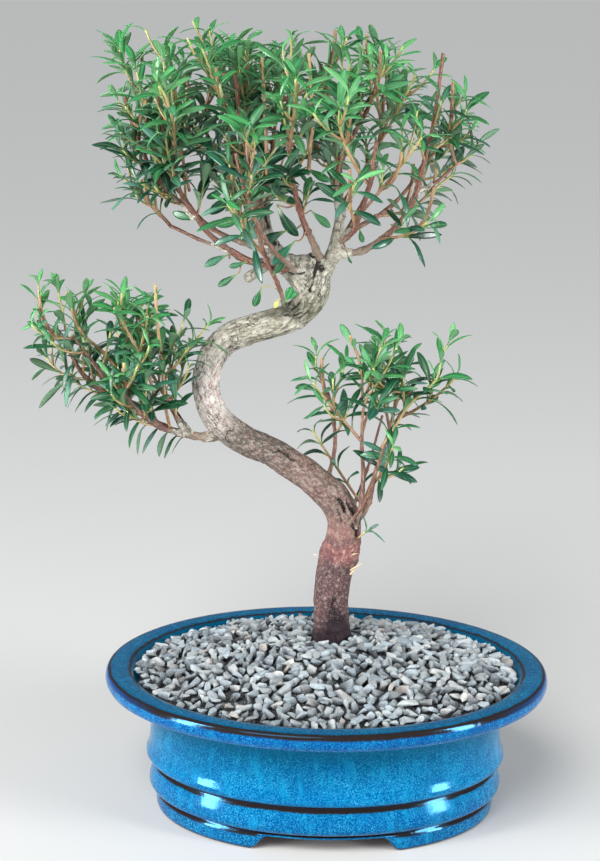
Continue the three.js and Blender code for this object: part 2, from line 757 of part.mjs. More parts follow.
// Finishes
const finish = (color, roughness) => new THREE.MeshStandardMaterial({ color, roughness, metalness: 0 });
const glaze = finish(0x0a76b4, 0.18);
const bark = finish(0x8f7f6c, 0.9);
const leafGreen = finish(0x3c7d3a, 0.45);
const earth = finish(0x4a3d31, 1);
const stone = finish(0xa9adab, 0.85);
const plastic = finish(0x22252a, 0.6);

const bonsai = new THREE.Group();

function place(name, solid, material) {
  const mesh = new THREE.Mesh(toGeometry(solid), material);
  mesh.name = name;
  bonsai.add(mesh);
}

const footRoom = makeFoot(SEAT);
const woodRoom = makeWood(0.4);
place("pot", makePot(), glaze);
place("drain_screen_left", makeScreen(-DRAIN_X), plastic);
place("drain_screen_right", makeScreen(DRAIN_X), plastic);
place("soil", makeSoil(footRoom), earth);
place("gravel", makeGravel(footRoom), stone);
place("trunk", makeWood(0), bark);
for (const { name, solid } of makeSprays(woodRoom)) place(name, solid, leafGreen);

const outline = new THREE.Box3().setFromObject(bonsai, true);
const outlineMiddle = outline.getCenter(new THREE.Vector3());
bonsai.position.set(-outlineMiddle.x, -outlineMiddle.y, -outline.min.z);

export default bonsai;
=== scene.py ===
"""The looks of a potted myrtle bonsai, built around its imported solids.

Shapes are worked out in millimetres about the middle of the pot's underside, as the solids are,
and are moved into the row frame, in metres, when each piece is made."""

import math
import random

import bmesh
import bpy
import numpy as np
from mathutils import Matrix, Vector
from mathutils.kdtree import KDTree


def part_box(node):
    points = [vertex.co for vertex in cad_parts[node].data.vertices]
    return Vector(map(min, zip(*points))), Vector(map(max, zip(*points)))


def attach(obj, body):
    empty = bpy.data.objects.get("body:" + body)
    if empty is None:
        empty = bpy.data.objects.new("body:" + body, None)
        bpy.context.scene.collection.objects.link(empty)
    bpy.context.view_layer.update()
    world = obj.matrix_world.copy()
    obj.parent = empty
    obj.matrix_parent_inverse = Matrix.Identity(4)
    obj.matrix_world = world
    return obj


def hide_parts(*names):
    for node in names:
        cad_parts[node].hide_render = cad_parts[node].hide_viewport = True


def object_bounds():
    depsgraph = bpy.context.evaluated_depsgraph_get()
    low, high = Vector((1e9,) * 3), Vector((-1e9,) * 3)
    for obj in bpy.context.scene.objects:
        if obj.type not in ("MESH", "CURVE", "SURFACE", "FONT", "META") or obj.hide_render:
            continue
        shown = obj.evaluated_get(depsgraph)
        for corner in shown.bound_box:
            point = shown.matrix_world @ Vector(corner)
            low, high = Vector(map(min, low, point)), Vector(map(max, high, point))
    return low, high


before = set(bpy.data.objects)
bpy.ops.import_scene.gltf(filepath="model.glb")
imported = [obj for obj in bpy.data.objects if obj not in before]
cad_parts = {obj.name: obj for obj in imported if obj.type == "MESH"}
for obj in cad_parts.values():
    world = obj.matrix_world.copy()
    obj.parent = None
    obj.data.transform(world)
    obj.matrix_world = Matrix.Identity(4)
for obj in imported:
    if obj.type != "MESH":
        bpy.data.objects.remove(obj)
cad_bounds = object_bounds()

pot_low, pot_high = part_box("pot")
ORIGIN = np.array([(pot_low.x + pot_high.x) / 2, (pot_low.y + pot_high.y) / 2, pot_low.z])
MM = 0.001

# Numbers shared with the solids

POT_RINGS = [
    (119, 79, 14), (121, 81, 0), (133, 92, 0), (135, 94, 3), (134.4, 93.4, 12.6),
    (131.4, 90.4, 15.4), (138, 97, 18), (140.8, 99.8, 22), (139.4, 98.4, 29.5), (137, 96, 36.6),
    (134.6, 93.6, 40.6), (141, 100, 43.4), (143.4, 102.4, 47.5), (139.6, 98.8, 56.5),
    (139, 98.2, 84), (143.6, 103, 98),
    (171.4, 129.4, 102.4), (175, 133, 109), (173.6, 131.8, 116), (170, 128.5, 118),
    (155.5, 117.5, 118), (150, 111.5, 112), (138, 98, 101), (133, 92, 88), (128, 87, 30),
    (121, 80, 22),
]
ARCH_TOP_HALF = 44
ARCH_FOOT_HALF = 58
ARCH_HEIGHT = 14
FLOOR_TOP = 22
DRAIN_X = 62
DRAIN_RADIUS = 12

TRUNK = [
    (4, 30, 62, 12), (4, 30, 80, 19), (4, 30, 104, 20), (4, 30, 122, 18), (4, 30, 140, 15),
    (3, 30, 164, 13.8), (5, 30, 186, 14), (9, 30, 201, 15.6), (12, 29, 215, 14),
    (12, 28, 231, 13), (5, 27, 247, 12.8), (-9, 26, 261, 12), (-26, 26, 274, 11.6),
    (-47, 26, 287, 11.3), (-68, 27, 296, 11.4), (-84, 28, 308, 11.3), (-93, 30, 321, 10.8),
    (-97, 31, 337, 10.6), (-95, 32, 352, 10.6), (-89, 33, 366, 10.9), (-77, 33, 377, 11.4),
    (-59, 32, 384, 11.2), (-40, 31, 390, 11.2), (-25, 30, 398, 11), (-16, 30, 409, 11),
    (-12, 30, 421, 10.8),
]

WOOD = {
    "crown": [
        ((9, 3.2), [(-13, 30, 414), (-8, 30, 428), (-1, 29, 441), (2, 28, 455), (6, 28, 483)]),
        ((10, 6), [(-14, 30, 412), (-27, 30, 427), (-40, 31, 438), (-51, 33, 454), (-56, 35, 474)]),
        ((4.4, 4), [(-40, 30, 440), (-53, 28, 433), (-66, 26, 424)]),
        ((2.4, 1.8), [(-34, 29, 396), (-44, 16, 428), (-52, 8, 446)]),
        ((4, 1.6), [(-7, 30, 430), (-14, 22, 450), (-26, 8, 480), (-34, -4, 520), (-35, -6, 556)]),
        ((3.2, 1.4), [(5, 28, 472), (1, 22, 503), (14, 14, 538), (23, 10, 556)]),
        ((3.8, 1.5), [(0, 28, 444), (25, 20, 450), (53, 8, 478), (66, 2, 520), (72, 0, 554)]),
        ((2, 1.3), [(60, 5, 496), (74, 10, 503), (90, 15, 516)]),
        ((2.8, 1.4), [(2, 30, 447), (22, 52, 480), (33, 68, 507), (36, 74, 536)]),
        ((3.6, 1.5), [(-42, 30, 436), (-68, 18, 441), (-94, 4, 464), (-112, -3, 492), (-123, -6, 525)]),
        ((2.4, 1.3), [(-104, 0, 476), (-132, 3, 504), (-146, 6, 530)]),
        ((2, 1.2), [(-80, 11, 450), (-100, 24, 454), (-124, 34, 462)]),
        ((3.4, 1.4), [(-55, 35, 466), (-74, 39, 506), (-81, 40, 548)]),
        ((2.8, 1.3), [(-52, 33, 458), (-62, 8, 504), (-70, -10, 548)]),
        ((2.8, 1.3), [(-52, 34, 460), (-49, 54, 508), (-44, 66, 554)]),
        ((3, 1.3), [(-55, 35, 470), (-84, 69, 502), (-104, 84, 534)]),
        ((2.8, 1.3), [(4, 28, 462), (5, 72, 496), (-4, 96, 532)]),
        ((3, 1.3), [(-46, 32, 446), (-56, 78, 478), (-58, 106, 520)]),
        ((3, 1.3), [(-24, 29, 426), (-50, -22, 464), (-66, -48, 506)]),
        ((2.8, 1.3), [(1, 28, 450), (16, -16, 474), (24, -44, 510)]),
        ((2.8, 1.3), [(2, 29, 456), (46, 62, 476), (70, 74, 508)]),
        ((3, 1.3), [(-44, 32, 442), (-94, 52, 458), (-126, 62, 492)]),
    ],
    "left": [
        ((4.6, 1.6), [(-84, 28, 302), (-98, 25, 298), (-126, 17, 307), (-158, 8, 329),
                      (-186, 3, 350), (-199, 0, 371)]),
        ((2.2, 1.3), [(-158, 9, 328), (-176, -1, 357), (-194, -8, 384)]),
        ((2.6, 1.3), [(-112, 21, 301), (-127, 12, 336), (-130, 4, 372)]),
        ((2.2, 1.3), [(-136, 14, 312), (-146, 30, 344), (-154, 36, 364)]),
        ((2.4, 1.3), [(-108, 22, 300), (-130, 50, 324), (-152, 64, 358)]),
        ((2.2, 1.3), [(-116, 20, 302), (-138, -12, 320), (-160, -30, 354)]),
    ],
    "right": [
        ((3.4, 1.4), [(12, 26, 219), (23, 20, 232), (26, 15, 275), (25, 12, 310), (34, 8, 335)]),
        ((3.2, 1.4), [(12, 28, 219), (29, 31, 238), (38, 34, 278), (52, 34, 312), (68, 32, 334)]),
        ((2.8, 1.3), [(-4, 27, 256), (4, 38, 286), (2, 40, 314), (-2, 38, 332)]),
        ((2.4, 1.3), [(12, 29, 222), (28, 56, 256), (42, 70, 304)]),
        ((2.4, 1.3), [(12, 26, 222), (28, -4, 258), (40, -22, 306)]),
    ],
}

# Rings of spray tips over each pad: count, out, height, drop, lean, reach
PADS = {
    "crown": dict(centre=(-34, 28), half=(128, 92), slope=-0.08, deepen=0, rings=[
        (1, 0, 608, 0, 0, 66), (4, 0.42, 608, 8, 0.2, 66), (8, 0.76, 601, 12, 0.45, 66),
        (12, 1.02, 580, 28, 0.8, 62), (10, 0.98, 522, 28, 1.2, 50)]),
    "left": dict(centre=(-163, 18), half=(68, 46), slope=-0.04, deepen=0.4, rings=[
        (1, 0, 408, 0, 0, 62), (3, 0.5, 406, 4, 0.3, 62), (5, 0.98, 392, 30, 0.8, 56),
        (2, 0.7, 345, 10, 1.3, 34)]),
    "right": dict(centre=(38, 24), half=(58, 42), slope=0, deepen=0, rings=[
        (1, 0, 374, 0, 0, 70), (2, 0.55, 370, 6, 0.4, 66), (5, 1, 350, 44, 0.8, 60)]),
}
STEM_RADIUS = (1.3, 0.9)
STEM_APART = 4
STEM_LEAVE = 9
STEM_CHECKS = 16
TWIG_END_PULL = 22
PAIR_PITCH = 12.5
FIRST_PAIR = 9
LEAF_LENGTH = 25
LEAF_WIDTH = 7
LEAF_BLUNT = 0.36
LEAF_SAG = 0.3
BENDS = (0, 20, -20, 40, -40, 60, -60)


# Numbers and noise

def draw(a, b, c):
    """The solids' repeatable draw from 0 to 1 for any three whole numbers."""
    wave = math.sin(a * 12.9898 + b * 78.233 + c * 37.719 + 4.1) * 43758.5453
    return wave - math.floor(wave)


def unit(v):
    return v / np.linalg.norm(v)


def lattice(ix, iy, iz, seed):
    h = (ix * 374761393 + iy * 668265263 + iz * 1442695041 + seed * 1274126177) & 0xFFFFFFFF
    h = ((h ^ (h >> 13)) * 1103515245) & 0xFFFFFFFF
    h = ((h ^ (h >> 15)) * 2654435761) & 0xFFFFFFFF
    return ((h ^ (h >> 16)) & 0xFFFF) / 65535.0


def value_noise(points, seed=0):
    """Smooth noise from 0 to 1 at each point."""
    p = np.asarray(points, float)
    cell = np.floor(p).astype(np.int64)
    f = p - cell
    f = f * f * (3 - 2 * f)
    total = np.zeros(len(p))
    for dx in (0, 1):
        for dy in (0, 1):
            for dz in (0, 1):
                weight = ((f[:, 0] if dx else 1 - f[:, 0]) * (f[:, 1] if dy else 1 - f[:, 1])
                          * (f[:, 2] if dz else 1 - f[:, 2]))
                total += weight * lattice(cell[:, 0] + dx, cell[:, 1] + dy, cell[:, 2] + dz, seed)
    return total


def fractal(points, octaves=3, seed=0):
    p = np.asarray(points, float)
    total = np.zeros(len(p))
    share = 0
    for k in range(octaves):
        total += value_noise(p * 2 ** k + 17.3 * k, seed + k) * 0.5 ** k
        share += 0.5 ** k
    return total / share


def cell_edges(points, seed=0):
    """How far each point is from the wall between its cell and the next, in a random packing."""
    p = np.asarray(points, float)
    cell = np.floor(p).astype(np.int64)
    first = np.full(len(p), 9.0)
    second = np.full(len(p), 9.0)
    for dx in (-1, 0, 1):
        for dy in (-1, 0, 1):
            for dz in (-1, 0, 1):
                i, j, k = cell[:, 0] + dx, cell[:, 1] + dy, cell[:, 2] + dz
                seat = np.column_stack([i + lattice(i, j, k, seed), j + lattice(i, j, k, seed + 1),
                                        k + lattice(i, j, k, seed + 2)])
                away = np.linalg.norm(p - seat, axis=1)
                second = np.minimum(second, np.maximum(first, away))
                first = np.minimum(first, away)
    return second - first


def smoothstep(low, high, x):
    t = np.clip((np.asarray(x, float) - low) / (high - low), 0, 1)
    return t * t * (3 - 2 * t)


# Meshes

def to_frame(points):
    return np.asarray(points, float) * MM + ORIGIN


class Skin:
    """Points, faces and values gathered for one piece."""

    def __init__(self):
        self.points = []
        self.faces = []
        self.slots = []
        self.values = {}
        self.count = 0

    def add(self, points, faces, material=0, **values):
        points = np.asarray(points, float)
        start = self.count
        self.points.append(points)
        self.faces.extend([tuple(i + start for i in face) for face in faces])
        self.slots.extend([material] * len(faces))
        for key, value in values.items():
            value = np.asarray(value, float)
            if value.ndim == 1 and len(value) == 3:
                value = np.tile(value, (len(points), 1))
            elif value.ndim == 0:
                value = np.full(len(points), float(value))
            self.values.setdefault(key, []).append(value)
        self.count += len(points)

    def all_points(self):
        return np.vstack(self.points)

    def piece(self, name, materials, slot, smooth=True, replaces=()):
        mesh = bpy.data.meshes.new(name)
        mesh.from_pydata(to_frame(self.all_points()).tolist(), [], self.faces)
        for material in materials:
            mesh.materials.append(material)
        mesh.polygons.foreach_set("material_index", self.slots)
        mesh.polygons.foreach_set("use_smooth", [smooth] * len(mesh.polygons))
        for key, parts in self.values.items():
            write_values(mesh, key, np.concatenate(parts))
        mesh.update()
        return make_object(name, mesh, replaces)


def write_values(mesh, key, values):
    """One number or three for each point, kept with the mesh for its material to read."""
    if values.ndim == 1:
        mesh.attributes.new(key, "FLOAT", "POINT").data.foreach_set("value", values)
    else:
        mesh.attributes.new(key, "FLOAT_VECTOR", "POINT").data.foreach_set("vector", values.ravel())


def make_object(name, mesh, replaces=()):
    piece = bpy.data.objects.new(name, mesh)
    bpy.context.scene.collection.objects.link(piece)
    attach(piece, "root")
    if replaces:
        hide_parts(*replaces)
    return piece


def applied(piece):
    """The piece's mesh with its modifiers carried out, and the piece itself taken away."""
    depsgraph = bpy.context.evaluated_depsgraph_get()
    mesh = bpy.data.meshes.new_from_object(piece.evaluated_get(depsgraph))
    bpy.data.objects.remove(piece)
    return mesh


def scratch_object(name, points, faces):
    mesh = bpy.data.meshes.new(name)
    mesh.from_pydata(np.asarray(points).tolist(), [], faces)
    piece = bpy.data.objects.new(name, mesh)
    bpy.context.scene.collection.objects.link(piece)
    return piece


def smooth_path(points, step):
    """A smooth run through rows of numbers, about a step apart in space."""
    rows = np.asarray(points, float)
    rows = np.vstack([2 * rows[0] - rows[1], rows, 2 * rows[-1] - rows[-2]])
    out = []
    for i in range(1, len(rows) - 2):
        a, b, c, d = rows[i - 1:i + 3]
        n = max(2, int(np.linalg.norm((c - b)[:3]) / step) + 1)
        t = np.linspace(0, 1, n, endpoint=False)[:, None]
        out.append(0.5 * (2 * b + (c - a) * t + (2 * a - 5 * b + 4 * c - d) * t ** 2
                          + (3 * b - a - 3 * c + d) * t ** 3))
    out.append(rows[-2:-1])
    return np.vstack(out)


def run_along(centres):
    """How far each point of a path is from its start, along the path."""
    steps = np.linalg.norm(np.diff(centres, axis=0), axis=1)
    return np.concatenate([[0], np.cumsum(steps)])


def bezier(start, bend, end, t):
    """A curve's place at a share t of the way from its start past one bend to its end."""
    return (1 - t) ** 2 * start + 2 * (1 - t) * t * bend + t * t * end


def path_frames(centres):
    """Headings and two sides along a path, turned as little as can be."""
    tangents = np.gradient(centres, axis=0)
    tangents /= np.linalg.norm(tangents, axis=1)[:, None]
    seed = np.array([0, 0, 1.0]) if abs(tangents[0][2]) < 0.9 else np.array([1.0, 0, 0])
    side = unit(np.cross(seed, tangents[0]))
    sides = []
    for tangent in tangents:
        side = unit(side - side.dot(tangent) * tangent)
        sides.append(side)
    sides = np.array(sides)
    return tangents, sides, np.cross(tangents, sides)


def tube(path, sides, flat_end=False):
    """Points and faces of a closed tube, with each point's distance along it and its turn."""
    centres, radii = path[:, :3], path[:, 3]
    tangents, east, north = path_frames(centres)
    along = run_along(centres)
    turn = np.arange(sides) * 2 * math.pi / sides
    ring = (np.cos(turn)[None, :, None] * east[:, None] + np.sin(turn)[None, :, None] * north[:, None])
    points = (centres[:, None] + radii[:, None, None] * ring).reshape(-1, 3)
    n = len(centres)
    faces = []
    for k in range(n - 1):
        for i in range(sides):
            a, b = k * sides + i, k * sides + (i + 1) % sides
            faces.append((a, b, b + sides, a + sides))
    distance = np.repeat(along, sides)
    turns = np.tile(turn, n)
    bulge = 0.0 if flat_end else 0.6
    caps = [centres[0] - tangents[0] * radii[0] * 0.6, centres[-1] + tangents[-1] * radii[-1] * bulge]
    points = np.vstack([points, caps])
    start, end, last = len(points) - 2, len(points) - 1, (n - 1) * sides
    for i in range(sides):
        faces.append((start, (i + 1) % sides, i))
        faces.append((end, last + i, last + (i + 1) % sides))
    distance = np.append(distance, [0, along[-1]])
    turns = np.append(turns, [0, 0])
    return points, faces, distance, turns


# Materials

def rgb(red, green, blue):
    """A screen colour from 0 to 255 as the linear colour that a shader takes."""
    out = []
    for part in (red, green, blue):
        c = part / 255
        out.append(c / 12.92 if c <= 0.04045 else ((c + 0.055) / 1.055) ** 2.4)
    return (*out, 1.0)


class Paint:
    """A material under one Principled shader, with short calls for its nodes."""

    def __init__(self, name, roughness=0.5, **sockets):
        self.material = bpy.data.materials.new(name)
        self.material.use_nodes = True
        self.tree = self.material.node_tree
        self.shader = self.tree.nodes["Principled BSDF"]
        self.shader.inputs["Roughness"].default_value = roughness
        for key, value in sockets.items():
            self.shader.inputs[key.replace("_", " ")].default_value = value

    def node(self, kind, **settings):
        node = self.tree.nodes.new(kind)
        for key, value in settings.items():
            setattr(node, key, value)
        return node

    def link(self, value, socket):
        if hasattr(value, "is_output"):
            self.tree.links.new(value, socket)
        else:
            socket.default_value = value

    def value(self, name, part="Fac"):
        return self.node("ShaderNodeAttribute", attribute_name=name).outputs[part]

    def place(self):
        return self.node("ShaderNodeTexCoord").outputs["Object"]

    def split(self, vector):
        node = self.node("ShaderNodeSeparateXYZ")
        self.link(vector, node.inputs[0])
        return node.outputs

    def scaled(self, vector, scale):
        node = self.node("ShaderNodeVectorMath", operation="MULTIPLY")
        self.link(vector, node.inputs[0])
        node.inputs[1].default_value = scale
        return node.outputs[0]

    def noise(self, vector, scale, detail=3, roughness=0.55, distortion=0):
        node = self.node("ShaderNodeTexNoise")
        self.link(vector, node.inputs["Vector"])
        node.inputs["Scale"].default_value = scale
        node.inputs["Detail"].default_value = detail
        node.inputs["Roughness"].default_value = roughness
        node.inputs["Distortion"].default_value = distortion
        return node.outputs["Fac"]

    def cells(self, vector, scale, feature="F1", part="Distance", randomness=1):
        node = self.node("ShaderNodeTexVoronoi", feature=feature)
        self.link(vector, node.inputs["Vector"])
        node.inputs["Scale"].default_value = scale
        node.inputs["Randomness"].default_value = randomness
        return node.outputs[part]

    def maths(self, operation, a, b=0.5, c=None, clamp=False):
        node = self.node("ShaderNodeMath", operation=operation, use_clamp=clamp)
        self.link(a, node.inputs[0])
        self.link(b, node.inputs[1])
        if c is not None:
            self.link(c, node.inputs[2])
        return node.outputs[0]

    def ramp(self, value, stops, mode="LINEAR"):
        node = self.node("ShaderNodeValToRGB")
        node.color_ramp.interpolation = mode
        elements = node.color_ramp.elements
        while len(elements) < len(stops):
            elements.new(0.5)
        for element, (place, colour) in zip(elements, stops):
            element.position = place
        for element, (place, colour) in zip(elements, stops):
            element.color = colour if isinstance(colour, tuple) else (colour, colour, colour, 1)
        self.link(value, node.inputs[0])
        return node.outputs[0]

    def span(self, value, low, high, to_low=0.0, to_high=1.0):
        node = self.node("ShaderNodeMapRange", clamp=True)
        self.link(value, node.inputs[0])
        for i, number in enumerate((low, high, to_low, to_high)):
            node.inputs[i + 1].default_value = number
        return node.outputs[0]

    def mix(self, share, a, b, blend="MIX"):
        node = self.node("ShaderNodeMix", data_type="RGBA", blend_type=blend)
        self.link(share, node.inputs[0])
        self.link(a, node.inputs[6])
        self.link(b, node.inputs[7])
        return node.outputs[2]

    def layered(self, colour, *rows):
        """Colours laid over one another, each as its value runs from low to high."""
        for value, low, high, strength, other in rows:
            colour = self.mix(self.span(value, low, high, 0, strength), colour, rgb(*other))
        return colour

    def colour(self, value):
        self.link(value, self.shader.inputs["Base Color"])

    def rough(self, value):
        self.link(value, self.shader.inputs["Roughness"])

    def bump(self, height, strength, distance):
        node = self.node("ShaderNodeBump")
        node.inputs["Strength"].default_value = strength
        node.inputs["Distance"].default_value = distance
        self.link(height, node.inputs["Height"])
        self.link(node.outputs[0], self.shader.inputs["Normal"])


# The pot

GLAZE_LAST = len(POT_RINGS) - 1
POT_SIDES = 236
FOOT_HALF_LENGTH = 134
# Rings below this height are lifted with the arch between the feet
LIFT_TOP = 15.5


def arch_lift(x):
    """How far the pot's underside is lifted at a distance along its length, between its feet."""
    d = np.abs(x)
    t = np.clip((ARCH_FOOT_HALF - d) / (ARCH_FOOT_HALF - ARCH_TOP_HALF), 0, 1)
    return (ARCH_HEIGHT - 0.9) * t * t * (3 - 2 * t)


def rounded_profile():
    """The pot's profile with its corners rounded: half length, half width, height, ring number."""
    rows = np.array([(*ring, k) for k, ring in enumerate(POT_RINGS)], float)
    for cut in (0.22, 0.25):
        out = [rows[0]]
        for a, b in zip(rows[:-1], rows[1:]):
            out.append(a + (b - a) * cut)
            out.append(b + (a - b) * cut)
        out.append(rows[-1])
        rows = np.array(out)
    return rows


def make_pot():
    profile = rounded_profile()
    turns = [2 * math.pi * k / POT_SIDES for k in range(POT_SIDES)]
    for half in (0, math.pi):
        for x in np.linspace(ARCH_TOP_HALF - 3, ARCH_FOOT_HALF + 2, 12):
            turn = math.acos(x / FOOT_HALF_LENGTH)
            turns += [half + turn, half + math.pi - turn]
    turns = np.sort(np.array([t % (2 * math.pi) for t in turns]))
    turns = turns[np.append(np.diff(turns) > 0.003, True)]
    n = len(turns)
    rings = []
    for a, b, z, _ in profile:
        x, y = a * np.cos(turns), b * np.sin(turns)
        lifted = arch_lift(x)
        height = np.full(n, z)
        if z < LIFT_TOP:
            height = lifted + z * (LIFT_TOP - lifted) / LIFT_TOP
        rings.append(np.column_stack([x, y, height]))
    points = np.vstack(rings)
    faces = []
    for k in range(len(profile) - 1):
        for i in range(n):
            a, b = k * n + i, k * n + (i + 1) % n
            faces.append((a, b, b + n, a + n))
    last = (len(profile) - 1) * n
    # the underside and the floor close in rings towards a middle point
    ring_number = np.repeat(profile[:, 3], n)
    for base, level, flip, number in ((0, ARCH_HEIGHT, True, 0), (last, FLOOR_TOP, False, GLAZE_LAST)):
        outer = base
        ring = points[base:base + n]
        for share in (0.75, 0.5, 0.25):
            inner = ring.copy()
            inner[:, :2] *= share
            inner[:, 2] = level
            start = len(points)
            points = np.vstack([points, inner])
            ring_number = np.append(ring_number, np.full(n, number))
            for i in range(n):
                j = (i + 1) % n
                quad = (outer + i, outer + j, start + j, start + i)
                faces.append(quad[::-1] if flip else quad)
            outer = start
        points = np.vstack([points, [[0, 0, level]]])
        ring_number = np.append(ring_number, number)
        middle = len(points) - 1
        for i in range(n):
            j = (i + 1) % n
            faces.append((middle, outer + j, outer + i) if flip else (outer + i, outer + j, middle))
    piece = scratch_object("pot_body", to_frame(points), faces)
    write_values(piece.data, "ring", ring_number)
    cutter_points, cutter_faces = [], []
    for x in (-DRAIN_X, DRAIN_X):
        row = np.array([(x, 0, 6, DRAIN_RADIUS), (x, 0, 30, DRAIN_RADIUS)], float)
        p, f, _, _ = tube(row, 40, flat_end=True)
        base = sum(len(q) for q in cutter_points)
        cutter_points.append(p)
        cutter_faces += [tuple(i + base for i in face) for face in f]
    cutter = scratch_object("drains", to_frame(np.vstack(cutter_points)), cutter_faces)
    cut = piece.modifiers.new("drains", "BOOLEAN")
    cut.object = cutter
    cut.operation = "DIFFERENCE"
    cut.solver = "EXACT"
    mesh = applied(piece)
    bpy.data.objects.remove(cutter)
    mesh.name = "pot_glazed"
    mesh.polygons.foreach_set("use_smooth", [True] * len(mesh.polygons))
    mesh.materials.clear()
    mesh.materials.append(glaze_material())
    return make_object("pot_glazed", mesh, ["pot"])


def glaze_material():
    paint = Paint("blue_glaze", roughness=0.13, IOR=1.5, Specular_IOR_Level=0.3,
                  Specular_Tint=rgb(92, 190, 255))
    place = paint.place()
    wobble = paint.noise(place, 60, 3, 0.6)
    fine = paint.noise(place, 420, 2, 0.6)
    ring = paint.value("ring")
    shifted = paint.maths("ADD", ring, paint.span(wobble, 0.2, 0.8, -0.12, 0.12))
    shifted = paint.maths("ADD", shifted, paint.span(fine, 0.2, 0.8, -0.06, 0.06))
    share = paint.maths("DIVIDE", shifted, GLAZE_LAST)

    def at(number):
        return number / GLAZE_LAST

    clay = rgb(84, 58, 50)
    burnt = rgb(40, 32, 28)
    body = rgb(0, 108, 158)
    band = rgb(0, 100, 154)
    # a darker teal, partly the glaze's own and partly painted shade, under the lip and down the inner
    # wall
    shaded_teal = rgb(0, 84, 118)
    face = rgb(0, 74, 142)
    pale = rgb(96, 146, 176)
    lip = rgb(0, 76, 112)
    # painted shade: the foot band and the foot of the lower band are a darker blue, as shade low on the
    # pot
    shaded_heel = rgb(0, 76, 126)
    line = paint.ramp(share, [
        (0, clay), (at(1.9), clay), (at(2.35), burnt), (at(2.8), shaded_heel), (at(3.85), shaded_heel),
        (at(4.05), burnt), (at(5.95), burnt), (at(6.2), shaded_heel), (at(8.95), band),
        (at(9.1), burnt), (at(11.0), burnt), (at(11.2), band), (at(13.0), body),
        (at(14.0), shaded_teal), (at(15.75), shaded_teal), (at(15.95), pale), (at(16.15), face),
        (at(17.55), face), (at(17.7), burnt), (at(18.7), burnt), (at(18.85), lip),
        (at(19.9), lip), (at(20.0), burnt), (at(20.15), burnt), (at(20.35), shaded_teal),
        (at(22), shaded_teal), (1, clay),
    ])
    streaks = paint.noise(paint.scaled(place, (1, 1, 0.3)), 160, 4, 0.62, 0.4)
    speck = paint.noise(place, 900, 2, 0.7)
    clouds = paint.noise(place, 24, 3, 0.5)
    pools = paint.noise(paint.scaled(place, (1, 1, 1.6)), 46, 4, 0.6)
    glazed = paint.ramp(share, [
        (at(2.6), 0.0), (at(3.0), 1.0), (at(3.8), 1.0), (at(4.0), 0.0), (at(6.0), 0.0),
        (at(6.3), 1.0), (at(8.9), 1.0), (at(9.1), 0.0), (at(11.0), 0.0), (at(11.3), 1.0),
        (at(13.2), 1.0), (at(14.2), 0.25), (at(15.9), 0.25), (at(16.2), 0.8),
        (at(17.5), 0.8), (at(17.7), 0.0), (at(18.8), 0.0), (at(19.0), 0.6), (at(19.9), 0.6),
        (at(20.1), 0.0), (1, 0.0),
    ])
    colour = line
    for noise, low, high, strength, other in (
            (speck, 0.49, 0.62, 0.7, (60, 172, 220)), (speck, 0.46, 0.36, 0.6, (0, 62, 128)),
            (clouds, 0.4, 0.7, 0.4, (0, 62, 112)), (streaks, 0.5, 0.7, 0.6, (20, 148, 196)),
            (pools, 0.5, 0.68, 0.35, (0, 66, 140))):
        mask = paint.maths("MULTIPLY", paint.span(noise, low, high), glazed)
        colour = paint.mix(paint.maths("MULTIPLY", mask, strength), colour, rgb(*other))
    # the burnt line under the rim thins out towards the back
    _, depth, _ = paint.split(place)
    behind = paint.span(depth, (ORIGIN[1] - 90) * MM, (ORIGIN[1] - 20) * MM)
    covered = paint.maths("MULTIPLY", paint.span(share, at(17.6), at(17.75)),
                          paint.span(share, at(18.35), at(18.2)))
    covered = paint.maths("MULTIPLY", covered, behind)
    colour = paint.mix(covered, colour, face)
    paint.colour(colour)
    bare = paint.span(share, at(2.0), at(2.5), 0.75, 0.13)
    inside = paint.span(share, at(21.5), at(22.5), 0.0, 0.6)
    paint.rough(paint.maths("ADD", bare, inside, clamp=True))
    paint.bump(paint.noise(place, 110, 3, 0.55), 0.34, 0.0006)
    return paint.material


# The gravel

def gravel_height(x, y):
    out = np.minimum(1, np.hypot(np.asarray(x) / 149, np.asarray(y) / 110.5))
    return 113 + 18 * (1 - out ** 1.7)


# How square the stones are: 1 is round, less is nearer a block
BLOCKY = 0.68
BED_SIDES = 96
TRUNK_FOOT = (4, 30)


def stone_shapes(count, seed):
    """Angular crushed stones of about unit radius, with worn edges."""
    draws = random.Random(seed)
    shapes = []
    for _ in range(count):
        mesh = bmesh.new()
        squash = (1.08, draws.uniform(0.62, 0.98), draws.uniform(0.52, 0.86))
        for _ in range(draws.randint(10, 13)):
            way = unit(np.array([draws.gauss(0, 1) for _ in range(3)]))
            way = np.sign(way) * np.abs(way) ** BLOCKY * draws.uniform(0.78, 0.98)
            mesh.verts.new([w * s for w, s in zip(way, squash)])
        hull = bmesh.ops.convex_hull(mesh, input=mesh.verts)
        bmesh.ops.delete(mesh, geom=list(set(hull["geom_interior"] + hull["geom_unused"])),
                         context="VERTS")
        bmesh.ops.dissolve_limit(mesh, angle_limit=math.radians(14), verts=mesh.verts,
                                 edges=mesh.edges)
        bmesh.ops.bevel(mesh, geom=list(mesh.edges), offset=0.07, segments=1, profile=0.5,
                        affect="EDGES")
        bmesh.ops.triangulate(mesh, faces=mesh.faces)
        mesh.verts.index_update()
        points = np.array([v.co for v in mesh.verts])
        # bmesh orders its points and faces anew each run, so they are put in one lasting order
        order = sorted(range(len(points)), key=lambda i: tuple(points[i]))
        rank = {old: new for new, old in enumerate(order)}
        points = points[order]
        faces = []
        for face in mesh.faces:
            corners = [rank[v.index] for v in face.verts]
            first = corners.index(min(corners))
            faces.append(tuple(corners[first:] + corners[:first]))
        faces.sort()
        mesh.free()
        if np.linalg.norm(points, axis=1).max() < 1.3:
            shapes.append((points, faces))
    return shapes


